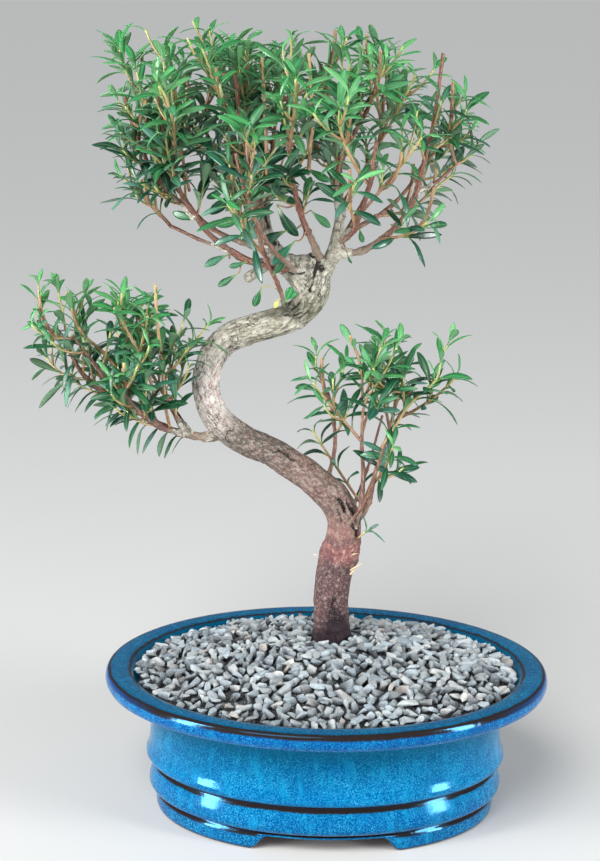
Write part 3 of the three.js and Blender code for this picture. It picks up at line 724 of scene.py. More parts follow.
def turned(draws, tilt):
    """A random turn about Z after a tilt of at most so many radians."""
    lean = Matrix.Rotation(draws.gauss(0, 1) * tilt, 3, "X") @ Matrix.Rotation(
        draws.gauss(0, 1) * tilt, 3, "Y")
    return np.array(Matrix.Rotation(draws.uniform(0, 2 * math.pi), 3, "Z") @ lean)


def scatter(draws, sizes, edge, apart):
    """Places on the bed for stones of given radii, largest first, no two too close."""
    cell = 14
    grid = {}
    placed = []
    for radius in sizes:
        for _ in range(40):
            x, y = draws.uniform(-edge[0], edge[0]), draws.uniform(-edge[1], edge[1])
            if math.hypot(x / (edge[0] - radius * 0.7), y / (edge[1] - radius * 0.7)) > 1:
                continue
            if math.dist((x, y), TRUNK_FOOT) < 17 + radius * 0.6:
                continue
            i, j = int(x // cell), int(y // cell)
            near = [p for a in (-1, 0, 1) for b in (-1, 0, 1) for p in grid.get((i + a, j + b), ())]
            if all(math.hypot(x - p[0], y - p[1]) > apart * (radius + p[2]) for p in near):
                grid.setdefault((i, j), []).append((x, y, radius))
                placed.append((x, y, radius))
                break
    return placed


def make_gravel():
    draws = random.Random(41)
    shapes = stone_shapes(26, 5)
    skin = Skin()
    # the bed under the stones, near black as painted shade in the gaps between them
    rings = [(136, 96, 103)] + [(148 * s, 109.6 * s, None) for s in np.linspace(1, 0.04, 20)]
    turns = np.arange(BED_SIDES) * 2 * math.pi / BED_SIDES
    points = []
    for a, b, z in rings:
        x, y = a * np.cos(turns), b * np.sin(turns)
        height = np.full(BED_SIDES, z, float) if z else gravel_height(x, y) - 3.4
        points.append(np.column_stack([x, y, height]))
    points = np.vstack(points)
    points[BED_SIDES:, 2] += 1.2 * (value_noise(points[BED_SIDES:] / 4, 3) - 0.5)
    faces = []
    for k in range(len(rings) - 1):
        for i in range(BED_SIDES):
            a, b = k * BED_SIDES + i, k * BED_SIDES + (i + 1) % BED_SIDES
            faces.append((a, b, b + BED_SIDES, a + BED_SIDES))
    last = (len(rings) - 1) * BED_SIDES
    faces.append(tuple(range(last, last + BED_SIDES)))
    faces.append(tuple(range(BED_SIDES - 1, -1, -1)))
    # its near-black tone is painted shade
    skin.add(points, faces, 0, tone=np.array([0.05, 0.5, 0.0]))
    sizes = sorted([draws.uniform(6.6, 9.2) for _ in range(60)]
                   + [draws.uniform(5.0, 6.6) for _ in range(620)]
                   + [draws.uniform(3.6, 5.0) for _ in range(950)], reverse=True)
    for x, y, radius in scatter(draws, sizes, (151.5, 113), 0.57):
        shape, shape_faces = draws.choice(shapes)
        rotation = turned(draws, 0.55)
        stretch = draws.uniform(0.95, 1.3)
        local = shape * [radius * stretch, radius, radius]
        local = local @ rotation.T
        top = local[:, 2].max()
        lift = draws.uniform(-1.2, 1.6) + 4.2
        z = float(gravel_height(x, y)) + lift - top
        spot = np.array([x, y, max(z, float(gravel_height(x, y)) - 2.4)])
        # painted shade: each stone is darker the further its points lie below the bed's surface,
        # standing for shade in the gaps between stones
        above = local[:, 2] + spot[2] - float(gravel_height(x, y))
        tone = np.clip(draws.gauss(0.66, 0.15) - 0.8 * smoothstep(3.0, -2.6, above), 0, 1)
        tint, kind = draws.random(), draws.random()
        skin.add(local + spot, shape_faces, 0,
                 tone=np.column_stack([tone, np.full(len(tone), tint), np.full(len(tone), kind)]))
    # small chips in the gaps
    for _ in range(260):
        share, turn = math.sqrt(draws.random()), draws.uniform(0, 2 * math.pi)
        x, y = 147 * share * math.cos(turn), 108.5 * share * math.sin(turn)
        if math.dist((x, y), TRUNK_FOOT) < 18:
            continue
        shape, shape_faces = draws.choice(shapes[:8])
        radius = draws.uniform(1.2, 2.3)
        local = (shape * radius) @ turned(draws, 0.8).T
        spot = np.array([x, y, float(gravel_height(x, y)) - draws.uniform(0.2, 1.8)])
        tone = np.array([min(max(draws.gauss(0.5, 0.18), 0.1), 1), draws.random(), draws.random()])
        skin.add(local + spot, shape_faces, 0, tone=tone)
    return skin.piece("gravel_stones", [gravel_material()], "gravel", smooth=False,
                      replaces=["gravel"])


def gravel_material():
    paint = Paint("crushed_stone", roughness=0.82, Specular_IOR_Level=0.35)
    place = paint.place()
    # tone is each stone's own lightness, with painted shade where a stone lies low between the others
    # and on the bed
    tone, tint, kind = paint.split(paint.value("tone", "Vector"))
    grey = paint.ramp(tone, [
        (0.0, rgb(16, 18, 22)), (0.2, rgb(70, 76, 82)), (0.5, rgb(150, 159, 166)),
        (0.75, rgb(200, 208, 212)), (1.0, rgb(230, 234, 236)),
    ])
    cool = paint.ramp(tint, [
        (0.0, rgb(222, 232, 238)), (0.35, rgb(234, 240, 242)), (0.6, rgb(244, 242, 240)),
        (0.85, rgb(236, 238, 234)), (1.0, rgb(250, 238, 228)),
    ])
    colour = paint.mix(1.0, grey, cool, "MULTIPLY")
    warm = paint.ramp(kind, [(0.965, 0.0), (0.975, 1.0)])
    colour = paint.mix(paint.maths("MULTIPLY", warm, 0.6), colour, rgb(196, 180, 168))
    veins = paint.noise(place, 320, 4, 0.65, 0.6)
    dust = paint.noise(place, 900, 3, 0.7)
    pits = paint.noise(place, 1500, 2, 0.6)
    paint.colour(paint.layered(colour, (veins, 0.5, 0.75, 0.4, (112, 120, 122)),
                               (dust, 0.5, 0.7, 0.4, (216, 220, 218)),
                               (pits, 0.42, 0.3, 0.5, (84, 88, 90))))
    height = paint.maths("ADD", paint.noise(place, 700, 4, 0.6), veins)
    paint.bump(height, 0.9, 0.0011)
    return paint.material


# The wood

# Clipped branches end at this height
CLIPPED_TOP = 604
# The crown's first rows, both limbs and the stub, are grown into the trunk's mesh
LIMB_ROWS = 3
# The stub's place among the thick paths, after the trunk and the two limbs
STUB = 3
BARK_VOXEL = 0.00088

# Lumps grown over the fork: two ends and a radius
KNOTS = [
    ((-14, 28, 428), (-17, 25, 443), 6.5), ((-24, 28, 428), (-24, 23, 441), 7.5),
    ((-33, 28, 432), (-33, 23, 441), 7), ((-42, 29, 433), (-42, 24, 440), 6.5),
    ((-50, 30, 450), (-46, 24, 452), 6.5),
]

# Slivers of torn wood at the collar and on the broken top of the right limb: root, tip, radius
SPLINTERS = [
    ((18, 17.5, 192), (27.5, 14.5, 199), 0.85), ((18, 16.5, 189), (21.6, 15, 193.5), 1.1),
    ((19, 18, 205), (22.6, 16.5, 206.5), 0.7), ((-9, 22, 203), (-12, 21, 202.5), 0.6),
    ((8, 27, 479), (11, 26, 492), 1.9), ((4, 26, 480), (5, 25, 489), 1.8),
    ((9, 29, 478), (13, 29, 486), 1.6), ((2, 29, 480), (0, 29, 487), 1.5),
]
TORN_PATCH = ((22, 17, 194), 5.0)

# The old branch that lies across the fork to a torn end
OVER_FORK = ((2.3, 1.5), [(-78, 13, 449), (-66, 15, 442), (-54, 15, 438), (-45, 15, 435),
                          (-37, 15, 434), (-31, 15, 436.5)])

# Hollows and clefts in the wood: place, reach, depth and how dark their painted shade is
DENTS = [
    ((6, 15, 155), 6.0, 2.0, 0.85), ((8, 14, 145), 9.0, 3.0, 1.0),
    ((8, 13, 134), 12.0, 3.0, 1.0), ((-5, 18, 134), 5.0, 1.2, 0.8), ((15, 20, 138), 5.0, 1.2, 0.8),
    ((-50, 26, 470), 7.0, 4.0, 1.0), ((-43, 22, 455), 4.5, 2.8, 1.0),
    ((-29, 18, 446), 3.0, 1.5, 0.7), ((-9, 20, 434), 2.8, 2.0, 0.9), ((-38, 18, 431), 2.4, 1.2, 0.7),
]

# Open cracks in the bark: their places in turn, half width and depth; each is also painted dark as
# shade
CLEFTS = [
    ([(8, 17, 251), (11, 17, 246), (13, 17, 241)], 1.5, 2.6),
    ([(15, 19, 247), (18, 19, 241), (22, 19, 233), (24, 19, 228)], 1.3, 2.0),
    ([(18, 18, 231), (22, 18, 223), (23, 18, 217)], 1.0, 1.4),
    ([(6, 17, 244), (9, 17, 238), (10, 17, 233)], 0.8, 1.0),
    ([(-44, 17, 289), (-38, 16, 290), (-33, 16, 286), (-28, 17, 282)], 0.8, 1.3),
    ([(-33, 16, 286), (-30, 16, 291), (-25, 17, 288)], 0.7, 1.1),
    ([(-41, 20, 400), (-36, 20, 405), (-31, 19, 402), (-26, 20, 406)], 0.9, 1.4),
    ([(-37, 19, 398), (-31, 19, 397), (-24, 19, 400)], 0.8, 1.2),
    ([(5, 15, 168), (4, 15, 160), (8, 13, 150), (6, 12, 136), (9, 12, 124)], 1.3, 1.6),
    ([(-7, 20, 455), (-9.8, 20, 445), (-12.4, 20, 436), (-14.8, 18, 426)], 1.7, 3.4),
    ([(-14.8, 18, 426), (-18, 18, 416)], 0.9, 1.2),
    ([(-31, 20, 447), (-26, 20, 449), (-20, 20, 446), (-15, 20, 443)], 1.5, 2.6),
    ([(-45, 20, 458), (-42, 20, 455), (-39, 20, 449)], 1.6, 2.6),
    ([(-38, 19, 432), (-30, 19, 429), (-22, 19, 431)], 0.9, 1.4),
]
# Places are matched to the bark straight from the front, so depth counts for little
FROM_FRONT = np.array([1, 0.25, 1])


def from_line(points, a, b):
    """How far each point is from the straight line between two places."""
    a, b = np.array(a, float), np.array(b, float)
    share = np.clip((points - a) @ (b - a) / ((b - a) @ (b - a)), 0, 1)
    return np.linalg.norm(points - a - share[:, None] * (b - a), axis=1)


def wood_path(row, step=2.0):
    (start, end), points = row
    last = len(points) - 1
    rows = [(*p, start + (end - start) * i / last) for i, p in enumerate(points)]
    return smooth_path(rows, step)


def thick_paths():
    """Centrelines of the wood that is grown together: trunk, limbs, stub and branch feet."""
    paths = [smooth_path(TRUNK, 2.0)]
    paths += [wood_path(row) for row in WOOD["crown"][:LIMB_ROWS]]
    for pad, rows in WOOD.items():
        for row in rows[LIMB_ROWS if pad == "crown" else 0:]:
            path = wood_path(row)
            away = np.linalg.norm(path[:, :3] - path[0, :3], axis=1)
            foot = path[away < 15].copy()
            if len(foot) > 2:
                foot[:, 3] *= 1.0 + 0.5 * np.exp(-away[:len(foot)] / 6)
                paths.append(foot)
    for start, end, radius in KNOTS:
        middle = (np.array(start) + end) / 2
        paths.append(np.array([(*start, radius), (*middle, radius * 1.1), (*end, radius * 0.8)], float))
    return paths


def make_trunk():
    paths = thick_paths()
    points, faces = [], []
    base = 0
    for path in paths:
        p, f, _, _ = tube(path, 24 if path[0, 3] > 5 else 12)
        points.append(p)
        faces += [tuple(i + base for i in face) for face in f]
        base += len(p)
    rough_piece = scratch_object("wood_rough", np.vstack(points) * MM, faces)
    remesh = rough_piece.modifiers.new("remesh", "REMESH")
    remesh.mode = "VOXEL"
    remesh.voxel_size = BARK_VOXEL
    remesh.adaptivity = 0
    mesh = applied(rough_piece)
    n = len(mesh.vertices)
    co = np.zeros(n * 3)
    mesh.vertices.foreach_get("co", co)
    co = co.reshape(-1, 3) / MM
    normal = np.zeros(n * 3)
    mesh.vertices.foreach_get("normal", normal)
    normal = normal.reshape(-1, 3)

    # every point takes its place along and round the nearest centreline
    centres, headings, easts, norths, alongs, owners, radii = [], [], [], [], [], [], []
    for k, path in enumerate(paths):
        t, e, m = path_frames(path[:, :3])
        centres.append(path[:, :3])
        headings.append(t)
        easts.append(e)
        norths.append(m)
        alongs.append(run_along(path[:, :3]))
        owners.append(np.full(len(path), k))
        radii.append(path[:, 3])
    centres, headings, easts, norths, alongs, owners, radii = (
        np.concatenate(v) for v in (centres, headings, easts, norths, alongs, owners, radii))
    nearest = np.zeros(n, int)
    for start in range(0, n, 4000):
        block = co[start:start + 4000]
        away = np.linalg.norm(block[:, None] - centres[None], axis=2) - radii[None]
        nearest[start:start + 4000] = away.argmin(1)
    out = co - centres[nearest]
    forward = (out * headings[nearest]).sum(1)
    side = (out * easts[nearest]).sum(1)
    north = (out * norths[nearest]).sum(1)
    turn = np.arctan2(north, side)
    along = alongs[nearest] + forward
    owner = owners[nearest]
    size = np.maximum(radii[nearest], 2)
    grain = np.column_stack([along, size * np.cos(turn), size * np.sin(turn)])
    grain += owner[:, None] * 37.0

    # bark: broad swellings, long fibres, plates and the fissures between them
    on_trunk = owner == 0
    up = co[:, 2]
    thick = smoothstep(3, 9, size)
    grey = np.where(on_trunk, smoothstep(215, 290, along), 1.0)
    bark = dict(
        broad=fractal(co / 13, 2, 11) - 0.5,
        fibre=1 - np.abs(2 * fractal(grain * [0.055, 0.42, 0.42], 3, 23) - 1),
        plate=fractal(grain * [0.16, 0.5, 0.5], 3, 31),
        grey=grey, thick=thick,
    )
    bent = grain + 2.2 * np.column_stack([fractal(co / 5, 2, 51 + k) - 0.5 for k in range(3)])
    bark["crack"] = 1 - smoothstep(0.02, 0.12, cell_edges(bent * [0.12, 0.22, 0.22], 47))
    bark["wrinkle"] = fractal(grain * [0.42, 0.1, 0.1], 3, 53)
    bark["collar"] = np.where(on_trunk, np.exp(-((up - 206) / 9.5) ** 2), 0)
    # the hollows and clefts sink in and are painted with shade
    hollow = np.zeros(n)
    depth = np.zeros(n)
    facing = smoothstep(0.25, -0.25, normal[:, 1])
    for spot, reach, deep, shade_dark in DENTS:
        near = facing * np.exp(-(np.linalg.norm((co - spot) * FROM_FRONT, axis=1) / reach) ** 2)
        depth = np.maximum(depth, near * deep)
        hollow = np.maximum(hollow, near * shade_dark)
    crooked = co + 2.6 * np.column_stack([fractal(co / 3.4, 2, 81 + k) - 0.5 for k in range(3)])
    crooked *= FROM_FRONT
    for places, half, deep in CLEFTS:
        places = np.array(places, float) * FROM_FRONT
        away = np.min([from_line(crooked, a, b) for a, b in zip(places[:-1], places[1:])], axis=0)
        near = facing * np.exp(-(away / half) ** 2)
        depth = np.maximum(depth, near * deep)
        hollow = np.maximum(hollow, near)
    bark["hollow"] = hollow
    lump = (1.7 * bark["broad"] + 0.7 * (bark["fibre"] - 0.6) + 0.9 * (bark["plate"] - 0.5)
            - 0.8 * bark["crack"] * (0.15 + 0.85 * grey))
    lump += bark["collar"] * (2.6 * (bark["wrinkle"] - 0.5) + 1.8 * (fractal(co / 5, 2, 57) - 0.4))
    knotted = np.exp(-(np.linalg.norm(co - [-30, 26, 438], axis=1) / 24) ** 2)
    lump += knotted * 2.6 * (fractal(co / 6, 3, 91) - 0.45)
    move = lump * (0.25 + 0.75 * thick) - depth
    # the flared foot is ribbed by its roots
    foot = np.where(on_trunk, 1 - smoothstep(112, 156, up), 0)
    move += foot * (1.8 * np.sin(turn * 3 + 0.8) * (1 - smoothstep(104, 146, up)) - 0.2)
    co = co + normal * move[:, None]

    mesh.vertices.foreach_set("co", to_frame(co).ravel())
    cut_end = (owner == STUB) & (along > alongs[owners == STUB].max() + 0.6)
    colour, moss = bark_colours(co, grain, along, owner, bark, cut_end)
    write_values(mesh, "bark_colour", colour)
    write_values(mesh, "grain", grain)
    wet = np.where(on_trunk, 1 - smoothstep(138, 160, up), 0.0)
    write_values(mesh, "skin", np.column_stack([wet, grey * ~cut_end, moss]))
    mesh.name = "trunk_bark"
    mesh.polygons.foreach_set("use_smooth", [True] * len(mesh.polygons))
    mesh.materials.clear()
    mesh.materials.append(bark_material())
    mesh.update()
    return make_object("trunk_bark", mesh, ["trunk"])


def bark_colours(co, grain, along, owner, bark, cut_end):
    """The bark's colour at each point: purple-brown and wet at the foot, a red collar, then pinkish
    and blistered, and pale grey with moss from the left bend up."""
    def tint(red, green, blue):
        return np.array(rgb(red, green, blue)[:3])

    n = len(co)
    on_trunk = owner == 0
    up = co[:, 2]
    patch = fractal(co / 9, 3, 61)
    small = fractal(co / 3.2, 3, 67)
    spot = fractal(grain * [0.5, 0.8, 0.8], 2, 71)

    def blend(base, share, other):
        share = np.clip(share, 0, 1)[:, None]
        return base * (1 - share) + other * share

    def layered(base, *rows):
        """Colours laid over one another, each as its value runs from low to high."""
        colours = np.tile(tint(*base), (n, 1))
        for value, low, high, strength, other in rows:
            colours = blend(colours, smoothstep(low, high, value) * strength, tint(*other))
        return colours

    colour = layered((186, 182, 166), (bark["plate"], 0.44, 0.6, 0.8, (234, 229, 214)),
                     (bark["plate"], 0.46, 0.3, 0.8, (136, 130, 114)),
                     (up, 398, 430, 0.45, (246, 242, 228)),
                     (patch, 0.55, 0.75, 0.45, (168, 164, 140)))
    # the middle of the S is pinker and blistered
    low = np.where(on_trunk, 1 - smoothstep(330, 400, along), 0)
    pale = smoothstep(272, 322, along)
    tiny = fractal(co / 1.8, 2, 83)
    pink = layered((132, 106, 100), (along, 222, 256, 1, (104, 96, 90)),
                   (along, 272, 322, 1, (252, 242, 236)),
                   (spot, 0.54, 0.64, 0.5, (196, 184, 172)),
                   (spot, 0.48, 0.36, 0.6 - 0.45 * pale, (78, 66, 60)),
                   (tiny, 0.54, 0.66, 0.32, (158, 114, 106)),
                   (small, 0.58, 0.7, 0.2 * (1 - pale), (164, 112, 104)))
    share = 0.92 - 0.4 * pale
    colour = blend(colour, low * (share + (1 - share) * smoothstep(0.3, 0.6, patch)), pink)
    blush = np.exp(-(np.linalg.norm((co - [-92, 22, 338]) / [7, 14, 22], axis=1)) ** 2)
    colour = blend(colour, blush * smoothstep(0.48, 0.62, small) * 0.7, tint(190, 116, 110))
    # painted light: the bend is made lighter to stand against the shade the crown casts on it
    bend = smoothstep(285, 315, along) * (1 - smoothstep(350, 378, along)) * on_trunk
    colour = blend(colour, bend * 0.4, tint(255, 248, 242))
    # the lower trunk is purple-brown with pale flecks
    red = layered((98, 72, 74), (spot, 0.5, 0.72, 0.5, (124, 100, 94)),
                  (spot, 0.5, 0.3, 0.6, (78, 50, 54)),
                  (fractal(co / 1.5, 2, 69), 0.62, 0.7, 0.6, (180, 160, 154)))
    rosy = np.exp(-((up - 226) / 11) ** 2)
    red = blend(red, rosy * 0.75, tint(158, 110, 104))
    red = blend(red, rosy * smoothstep(0.56, 0.68, small) * 0.5, tint(208, 180, 162))
    foot = np.where(on_trunk, 1 - smoothstep(214, 250, up + 14 * (patch - 0.5)), 0)
    colour = blend(colour, foot, red)
    collar = layered((134, 84, 84), (small, 0.46, 0.6, 0.7, (172, 116, 110)),
                     (tiny, 0.56, 0.66, 0.7, (214, 176, 158)),
                     (patch, 0.48, 0.36, 0.7, (104, 62, 74)))
    ragged = bark["collar"] + 0.9 * (patch - 0.5) + 0.9 * (small - 0.5)
    colour = blend(colour, smoothstep(0.15, 0.85, ragged) * 0.9, collar)
    wet = np.where(on_trunk, 1 - smoothstep(130, 158, up + 14 * (patch - 0.5)), 0)
    colour = blend(colour, wet * 0.94, tint(28, 20, 32))
    torn = np.exp(-(np.linalg.norm(co - TORN_PATCH[0], axis=1) / TORN_PATCH[1]) ** 2)
    colour = blend(colour, smoothstep(0.35, 0.6, torn + 0.4 * (small - 0.5)), tint(214, 178, 138))
    # moss and lichen, dark cracks, and painted shade in the hollows and clefts
    blanket = np.exp(-(np.linalg.norm((co - [-38, 22, 402]) / [21, 12, 7], axis=1)) ** 2)
    lichen = np.where(on_trunk, smoothstep(0.42, 0.62, fractal(co / 7, 2, 97)), 0)
    lichen = lichen * smoothstep(330, 420, along) * 0.3
    colour = blend(colour, lichen, tint(132, 136, 98))
    moss = np.clip(blanket * (0.5 + small), 0, 1)
    colour = blend(colour, moss * 0.85, tint(62, 64, 54))
    knotted = np.exp(-(np.linalg.norm(co - [-30, 26, 440], axis=1) / 22) ** 2)
    colour = blend(colour, knotted * smoothstep(0.52, 0.62, small) * 0.7, tint(222, 222, 214))
    colour = blend(colour, knotted * smoothstep(0.46, 0.38, small) * 0.85, tint(70, 66, 60))
    colour = blend(colour, bark["crack"] * (0.15 + 0.35 * bark["grey"]), tint(74, 68, 58))
    colour = blend(colour, smoothstep(0.35, 0.1, bark["fibre"]) * 0.25, tint(96, 84, 74))
    # painted shade in the hollows and clefts
    shade_dark = np.where((up < 190)[:, None], tint(38, 24, 34), tint(24, 20, 20))
    share = (smoothstep(0.2, 0.5, bark["hollow"] + 0.5 * (tiny - 0.5)) * 0.97)[:, None]
    colour = colour * (1 - share) + shade_dark * share
    colour[cut_end] = tint(212, 202, 176)
    return colour, moss


def bark_material():
    paint = Paint("old_bark", roughness=0.85, Specular_IOR_Level=0.12)
    grain = paint.value("grain", "Vector")
    base = paint.value("bark_colour", "Color")
    wet, grey, moss = paint.split(paint.value("skin", "Vector"))
    sway = paint.node("ShaderNodeVectorMath", operation="MULTIPLY_ADD")
    wander = paint.node("ShaderNodeTexNoise")
    paint.link(grain, wander.inputs["Vector"])
    wander.inputs["Scale"].default_value = 0.3
    paint.link(wander.outputs["Color"], sway.inputs[0])
    sway.inputs[1].default_value = (2.4, 2.4, 2.4)
    paint.link(grain, sway.inputs[2])
    bent = sway.outputs[0]
    net = paint.cells(paint.scaled(bent, (0.13, 0.3, 0.3)), 1.0, "DISTANCE_TO_EDGE")
    fine_net = paint.cells(paint.scaled(bent, (0.5, 0.9, 0.9)), 1.0, "DISTANCE_TO_EDGE")
    fleck = paint.cells(paint.scaled(bent, (0.5, 0.75, 0.75)), 1.0)
    long_grain = paint.noise(paint.scaled(grain, (0.16, 0.9, 0.9)), 1.0, 4, 0.62)
    crumbs = paint.noise(paint.scaled(grain, (1.2, 1.6, 1.6)), 1.0, 3, 0.65)
    colour = paint.mix(paint.span(long_grain, 0.48, 0.3, 0, 0.7), base, rgb(176, 164, 156),
                       "MULTIPLY")
    dry = paint.maths("MULTIPLY", paint.span(wet, 0.0, 0.6, 1.0, 0.1), paint.span(grey, 0, 1, 0.6, 1))
    pale_crumbs = paint.maths("MULTIPLY", paint.span(crumbs, 0.56, 0.74, 0, 0.5), dry)
    colour = paint.mix(pale_crumbs, colour, rgb(236, 232, 220))
    colour = paint.mix(paint.span(crumbs, 0.44, 0.3, 0, 0.7), colour, rgb(166, 154, 146), "MULTIPLY")
    split = paint.maths("MULTIPLY", paint.span(net, 0.1, 0.03, 0, 0.8), grey)
    split = paint.maths("MULTIPLY", split, paint.span(long_grain, 0.6, 0.48, 0.1, 1))
    cracked = paint.noise(paint.place(), 70, 2, 0.5)
    split = paint.maths("MULTIPLY", split, paint.span(cracked, 0.44, 0.58, 0.12, 1))
    hairline = paint.maths("MULTIPLY", paint.span(fine_net, 0.06, 0.01, 0, 0.3), grey)
    colour = paint.mix(hairline, colour, rgb(96, 88, 76))
    colour = paint.mix(split, colour, rgb(54, 48, 42))
    smooth = paint.maths("SUBTRACT", 1.0, grey, clamp=True)
    blister = paint.maths("MULTIPLY", paint.span(fleck, 0.27, 0.15, 0, 0.5), smooth)
    blister = paint.maths("MULTIPLY", blister, paint.maths("SUBTRACT", 1.0, wet, clamp=True))
    colour = paint.mix(blister, colour, rgb(206, 192, 180))
    colour = paint.mix(paint.maths("MULTIPLY", paint.span(crumbs, 0.5, 0.66), moss), colour,
                       rgb(88, 96, 62))
    paint.colour(colour)
    paint.rough(paint.span(wet, 0, 1, 0.86, 0.5))
    height = paint.maths("ADD", long_grain, paint.maths("MULTIPLY", crumbs, 0.6))
    height = paint.maths("SUBTRACT", height, paint.maths("MULTIPLY", split, 0.9))
    height = paint.maths("ADD", height, paint.maths("MULTIPLY", blister, 0.8))
    paint.bump(height, 0.85, 0.0009)
    return paint.material


def clipped_on(path, draws):
    """A branch drawn on past its last spray to an end that was cut off square."""
    heading = unit(unit(path[-1, :3] - path[-5, :3]) + [0, 0, 0.6])
    room = (CLIPPED_TOP - path[-1, 2]) / max(heading[2], 0.3)
    steps = np.arange(1.6, max(2.0, min(draws.uniform(26, 52), room)), 1.6)
    more = np.column_stack([path[-1, :3] + np.outer(steps, heading),
                            np.full(len(steps), draws.uniform(1.5, 1.9))])
    path = np.vstack([path, more])
    path[:, 3] = np.maximum(path[:, 3], draws.uniform(1.6, 2.0))
    return path


def make_branches():
    skin = Skin()
    draws = random.Random(19)
    for pad, rows in WOOD.items():
        for number, row in enumerate(rows):
            if pad == "crown" and number < LIMB_ROWS:
                continue
            path = wood_path(row, 1.6)
            if pad == "crown" and not (path[-1, 0] > 68 and path[-1, 2] < 530):
                path = clipped_on(path, draws)
            count = len(path)
            wander = np.column_stack([value_noise(np.column_stack([
                path[:, 2] / 16, np.full(count, number * 7.1), np.full(count, k)]), 5) - 0.5
                for k in range(3)])
            ease = np.sin(np.linspace(0, math.pi, count))[:, None]
            path[:, :3] += wander * ease * 1.6
            swell = 1 + 0.16 * (value_noise(np.column_stack([
                np.arange(count) / 3.0, np.full(count, number), np.full(count, 3.3)]), 9) - 0.4)
            for _ in range(int(count / 7)):
                spot = draws.randint(1, count - 1)
                swell += 0.2 * np.exp(-((np.arange(count) - spot) / 1.1) ** 2)
            slim = 0.68 if pad == "right" or row[1][0] == (-24, 29, 426) else 0.78
            path[:, 3] *= swell * slim
            points, faces, along, turn = tube(path, 12, flat_end=pad == "crown")
            radius = row[0][0]
            bumps = value_noise(np.column_stack([along / 2.6, np.cos(turn) * 1.6 + number,
                                                 np.sin(turn) * 1.6]), 13) - 0.5
            centre_out = points.copy()
            core = np.repeat(path[:, :3], 12, axis=0)
            centre_out[:len(core)] += (points[:len(core)] - core) * bumps[:len(core), None] * 0.22
            share = along / along.max()
            grain = np.column_stack([along, radius * np.cos(turn) + number * 11,
                                     radius * np.sin(turn)])
            skin.add(centre_out, faces, 0, grain=grain, young=share,
                     tone=np.array([draws.random(), float(pad != "crown"), 0]))
    path = wood_path(OVER_FORK, 1.6)
    points, faces, along, turn = tube(path, 12, flat_end=True)
    grain = np.column_stack([along, 2 * np.cos(turn), 2 * np.sin(turn)])
    skin.add(points, faces, 0, grain=grain, young=0.3 + 0 * along, tone=np.array([0.4, 0, 0]))
    for root, tip, radius in SPLINTERS:
        root, tip = np.array(root, float), np.array(tip, float)
        shares = np.linspace(0, 1, 6)
        bowed = root + np.outer(shares, tip - root) + np.outer(
            np.sin(shares * math.pi), [draws.uniform(-0.5, 0.5) for _ in range(3)])
        path = np.column_stack([bowed, radius * (1 - 0.6 * shares ** 1.6)])
        points, faces, along, turn = tube(path, 7)
        grain = np.column_stack([along, radius * np.cos(turn), radius * np.sin(turn)])
        skin.add(points, faces, 1, grain=grain, young=along * 0,
                 tone=np.array([draws.random(), 0, 0]))
    return skin.piece("branches", [branch_material(), raw_wood_material()], "bark",
                      replaces=["trunk"])


def raw_wood_material():
    paint = Paint("raw_wood", roughness=0.8, Specular_IOR_Level=0.3)
    grain = paint.value("grain", "Vector")
    tone, _, _ = paint.split(paint.value("tone", "Vector"))
    fibres = paint.noise(paint.scaled(grain, (0.3, 2.0, 2.0)), 1.0, 4, 0.65)
    base = paint.ramp(tone, [(0, rgb(214, 184, 146)), (1, rgb(236, 222, 192))])
    paint.colour(paint.layered(base, (fibres, 0.5, 0.3, 0.7, (142, 100, 70)),
                               (fibres, 0.55, 0.75, 0.5, (240, 228, 200))))
    paint.bump(fibres, 0.6, 0.0005)
    return paint.material


def branch_material():
    paint = Paint("young_bark", roughness=0.7, Specular_IOR_Level=0.35)
    grain = paint.value("grain", "Vector")
    tone, low_pad, _ = paint.split(paint.value("tone", "Vector"))
    flakes = paint.noise(paint.scaled(grain, (0.22, 0.8, 0.8)), 1.0, 4, 0.65)
    rings = paint.noise(paint.scaled(grain, (0.9, 0.3, 0.3)), 1.0, 3, 0.6)
    base = paint.ramp(tone, [(0, rgb(108, 66, 56)), (0.5, rgb(134, 82, 66)), (1, rgb(120, 88, 74))])
    tip = paint.ramp(tone, [(0, rgb(118, 78, 60)), (1, rgb(150, 106, 76))])
    young = paint.value("young")
    colour = paint.mix(paint.span(young, 0.35, 1.0), base, tip)
    colour = paint.mix(paint.maths("MULTIPLY", low_pad, 0.55), colour, rgb(98, 72, 68))
    paint.colour(paint.layered(colour, (young, 0.3, 0.12, 0.85, (150, 142, 126)),
                               (flakes, 0.52, 0.64, 0.8, (198, 152, 128)),
                               (flakes, 0.48, 0.3, 0.8, (74, 44, 38)),
                               (rings, 0.56, 0.7, 0.3, (92, 60, 50))))
    paint.bump(paint.maths("ADD", flakes, rings), 0.8, 0.0008)
    return paint.material


# Sprays, as in the solids

class Bend:
    """A stem's curve from its foot past one bend to its tip."""

    def __init__(self, start, bend, end):
        self.start, self.bend, self.end = start, bend, end

    def at(self, t):
        return bezier(self.start, self.bend, self.end, t)

    def heading(self, t):
        return unit(self.at(min(1, t + 0.0001)) - self.at(max(0, t - 0.0001)))

    def length(self):
        points = np.array([self.at(k / 200) for k in range(201)])
        return np.linalg.norm(np.diff(points, axis=0), axis=1).sum()


def spray_tips(pad):
    tips = []
    for level, (count, ring_out, ring_z, drop, lean, ring_reach) in enumerate(pad["rings"]):
        for k in range(count):
            turn = 2 * math.pi * (k + 0.5 * level + 0.3 * (draw(level, k, 7) - 0.5)) / count
            out = ring_out * (1 + 0.08 * (draw(level, k, 8) - 0.5))
            x = pad["centre"][0] + pad["half"][0] * out * math.cos(turn)
            y = pad["centre"][1] + pad["half"][1] * out * math.sin(turn)
            dip = (k % 2) * drop + 8 * draw(level, k, 9)
            z = ring_z - dip + pad["slope"] * (x - pad["centre"][0])
            toward = unit(np.array([lean * math.cos(turn), lean * math.sin(turn), 1.0]))
            reach = ring_reach + pad["deepen"] * (x - pad["centre"][0])
            tips.append((np.array([x, y, z]), toward, reach))
    return tips


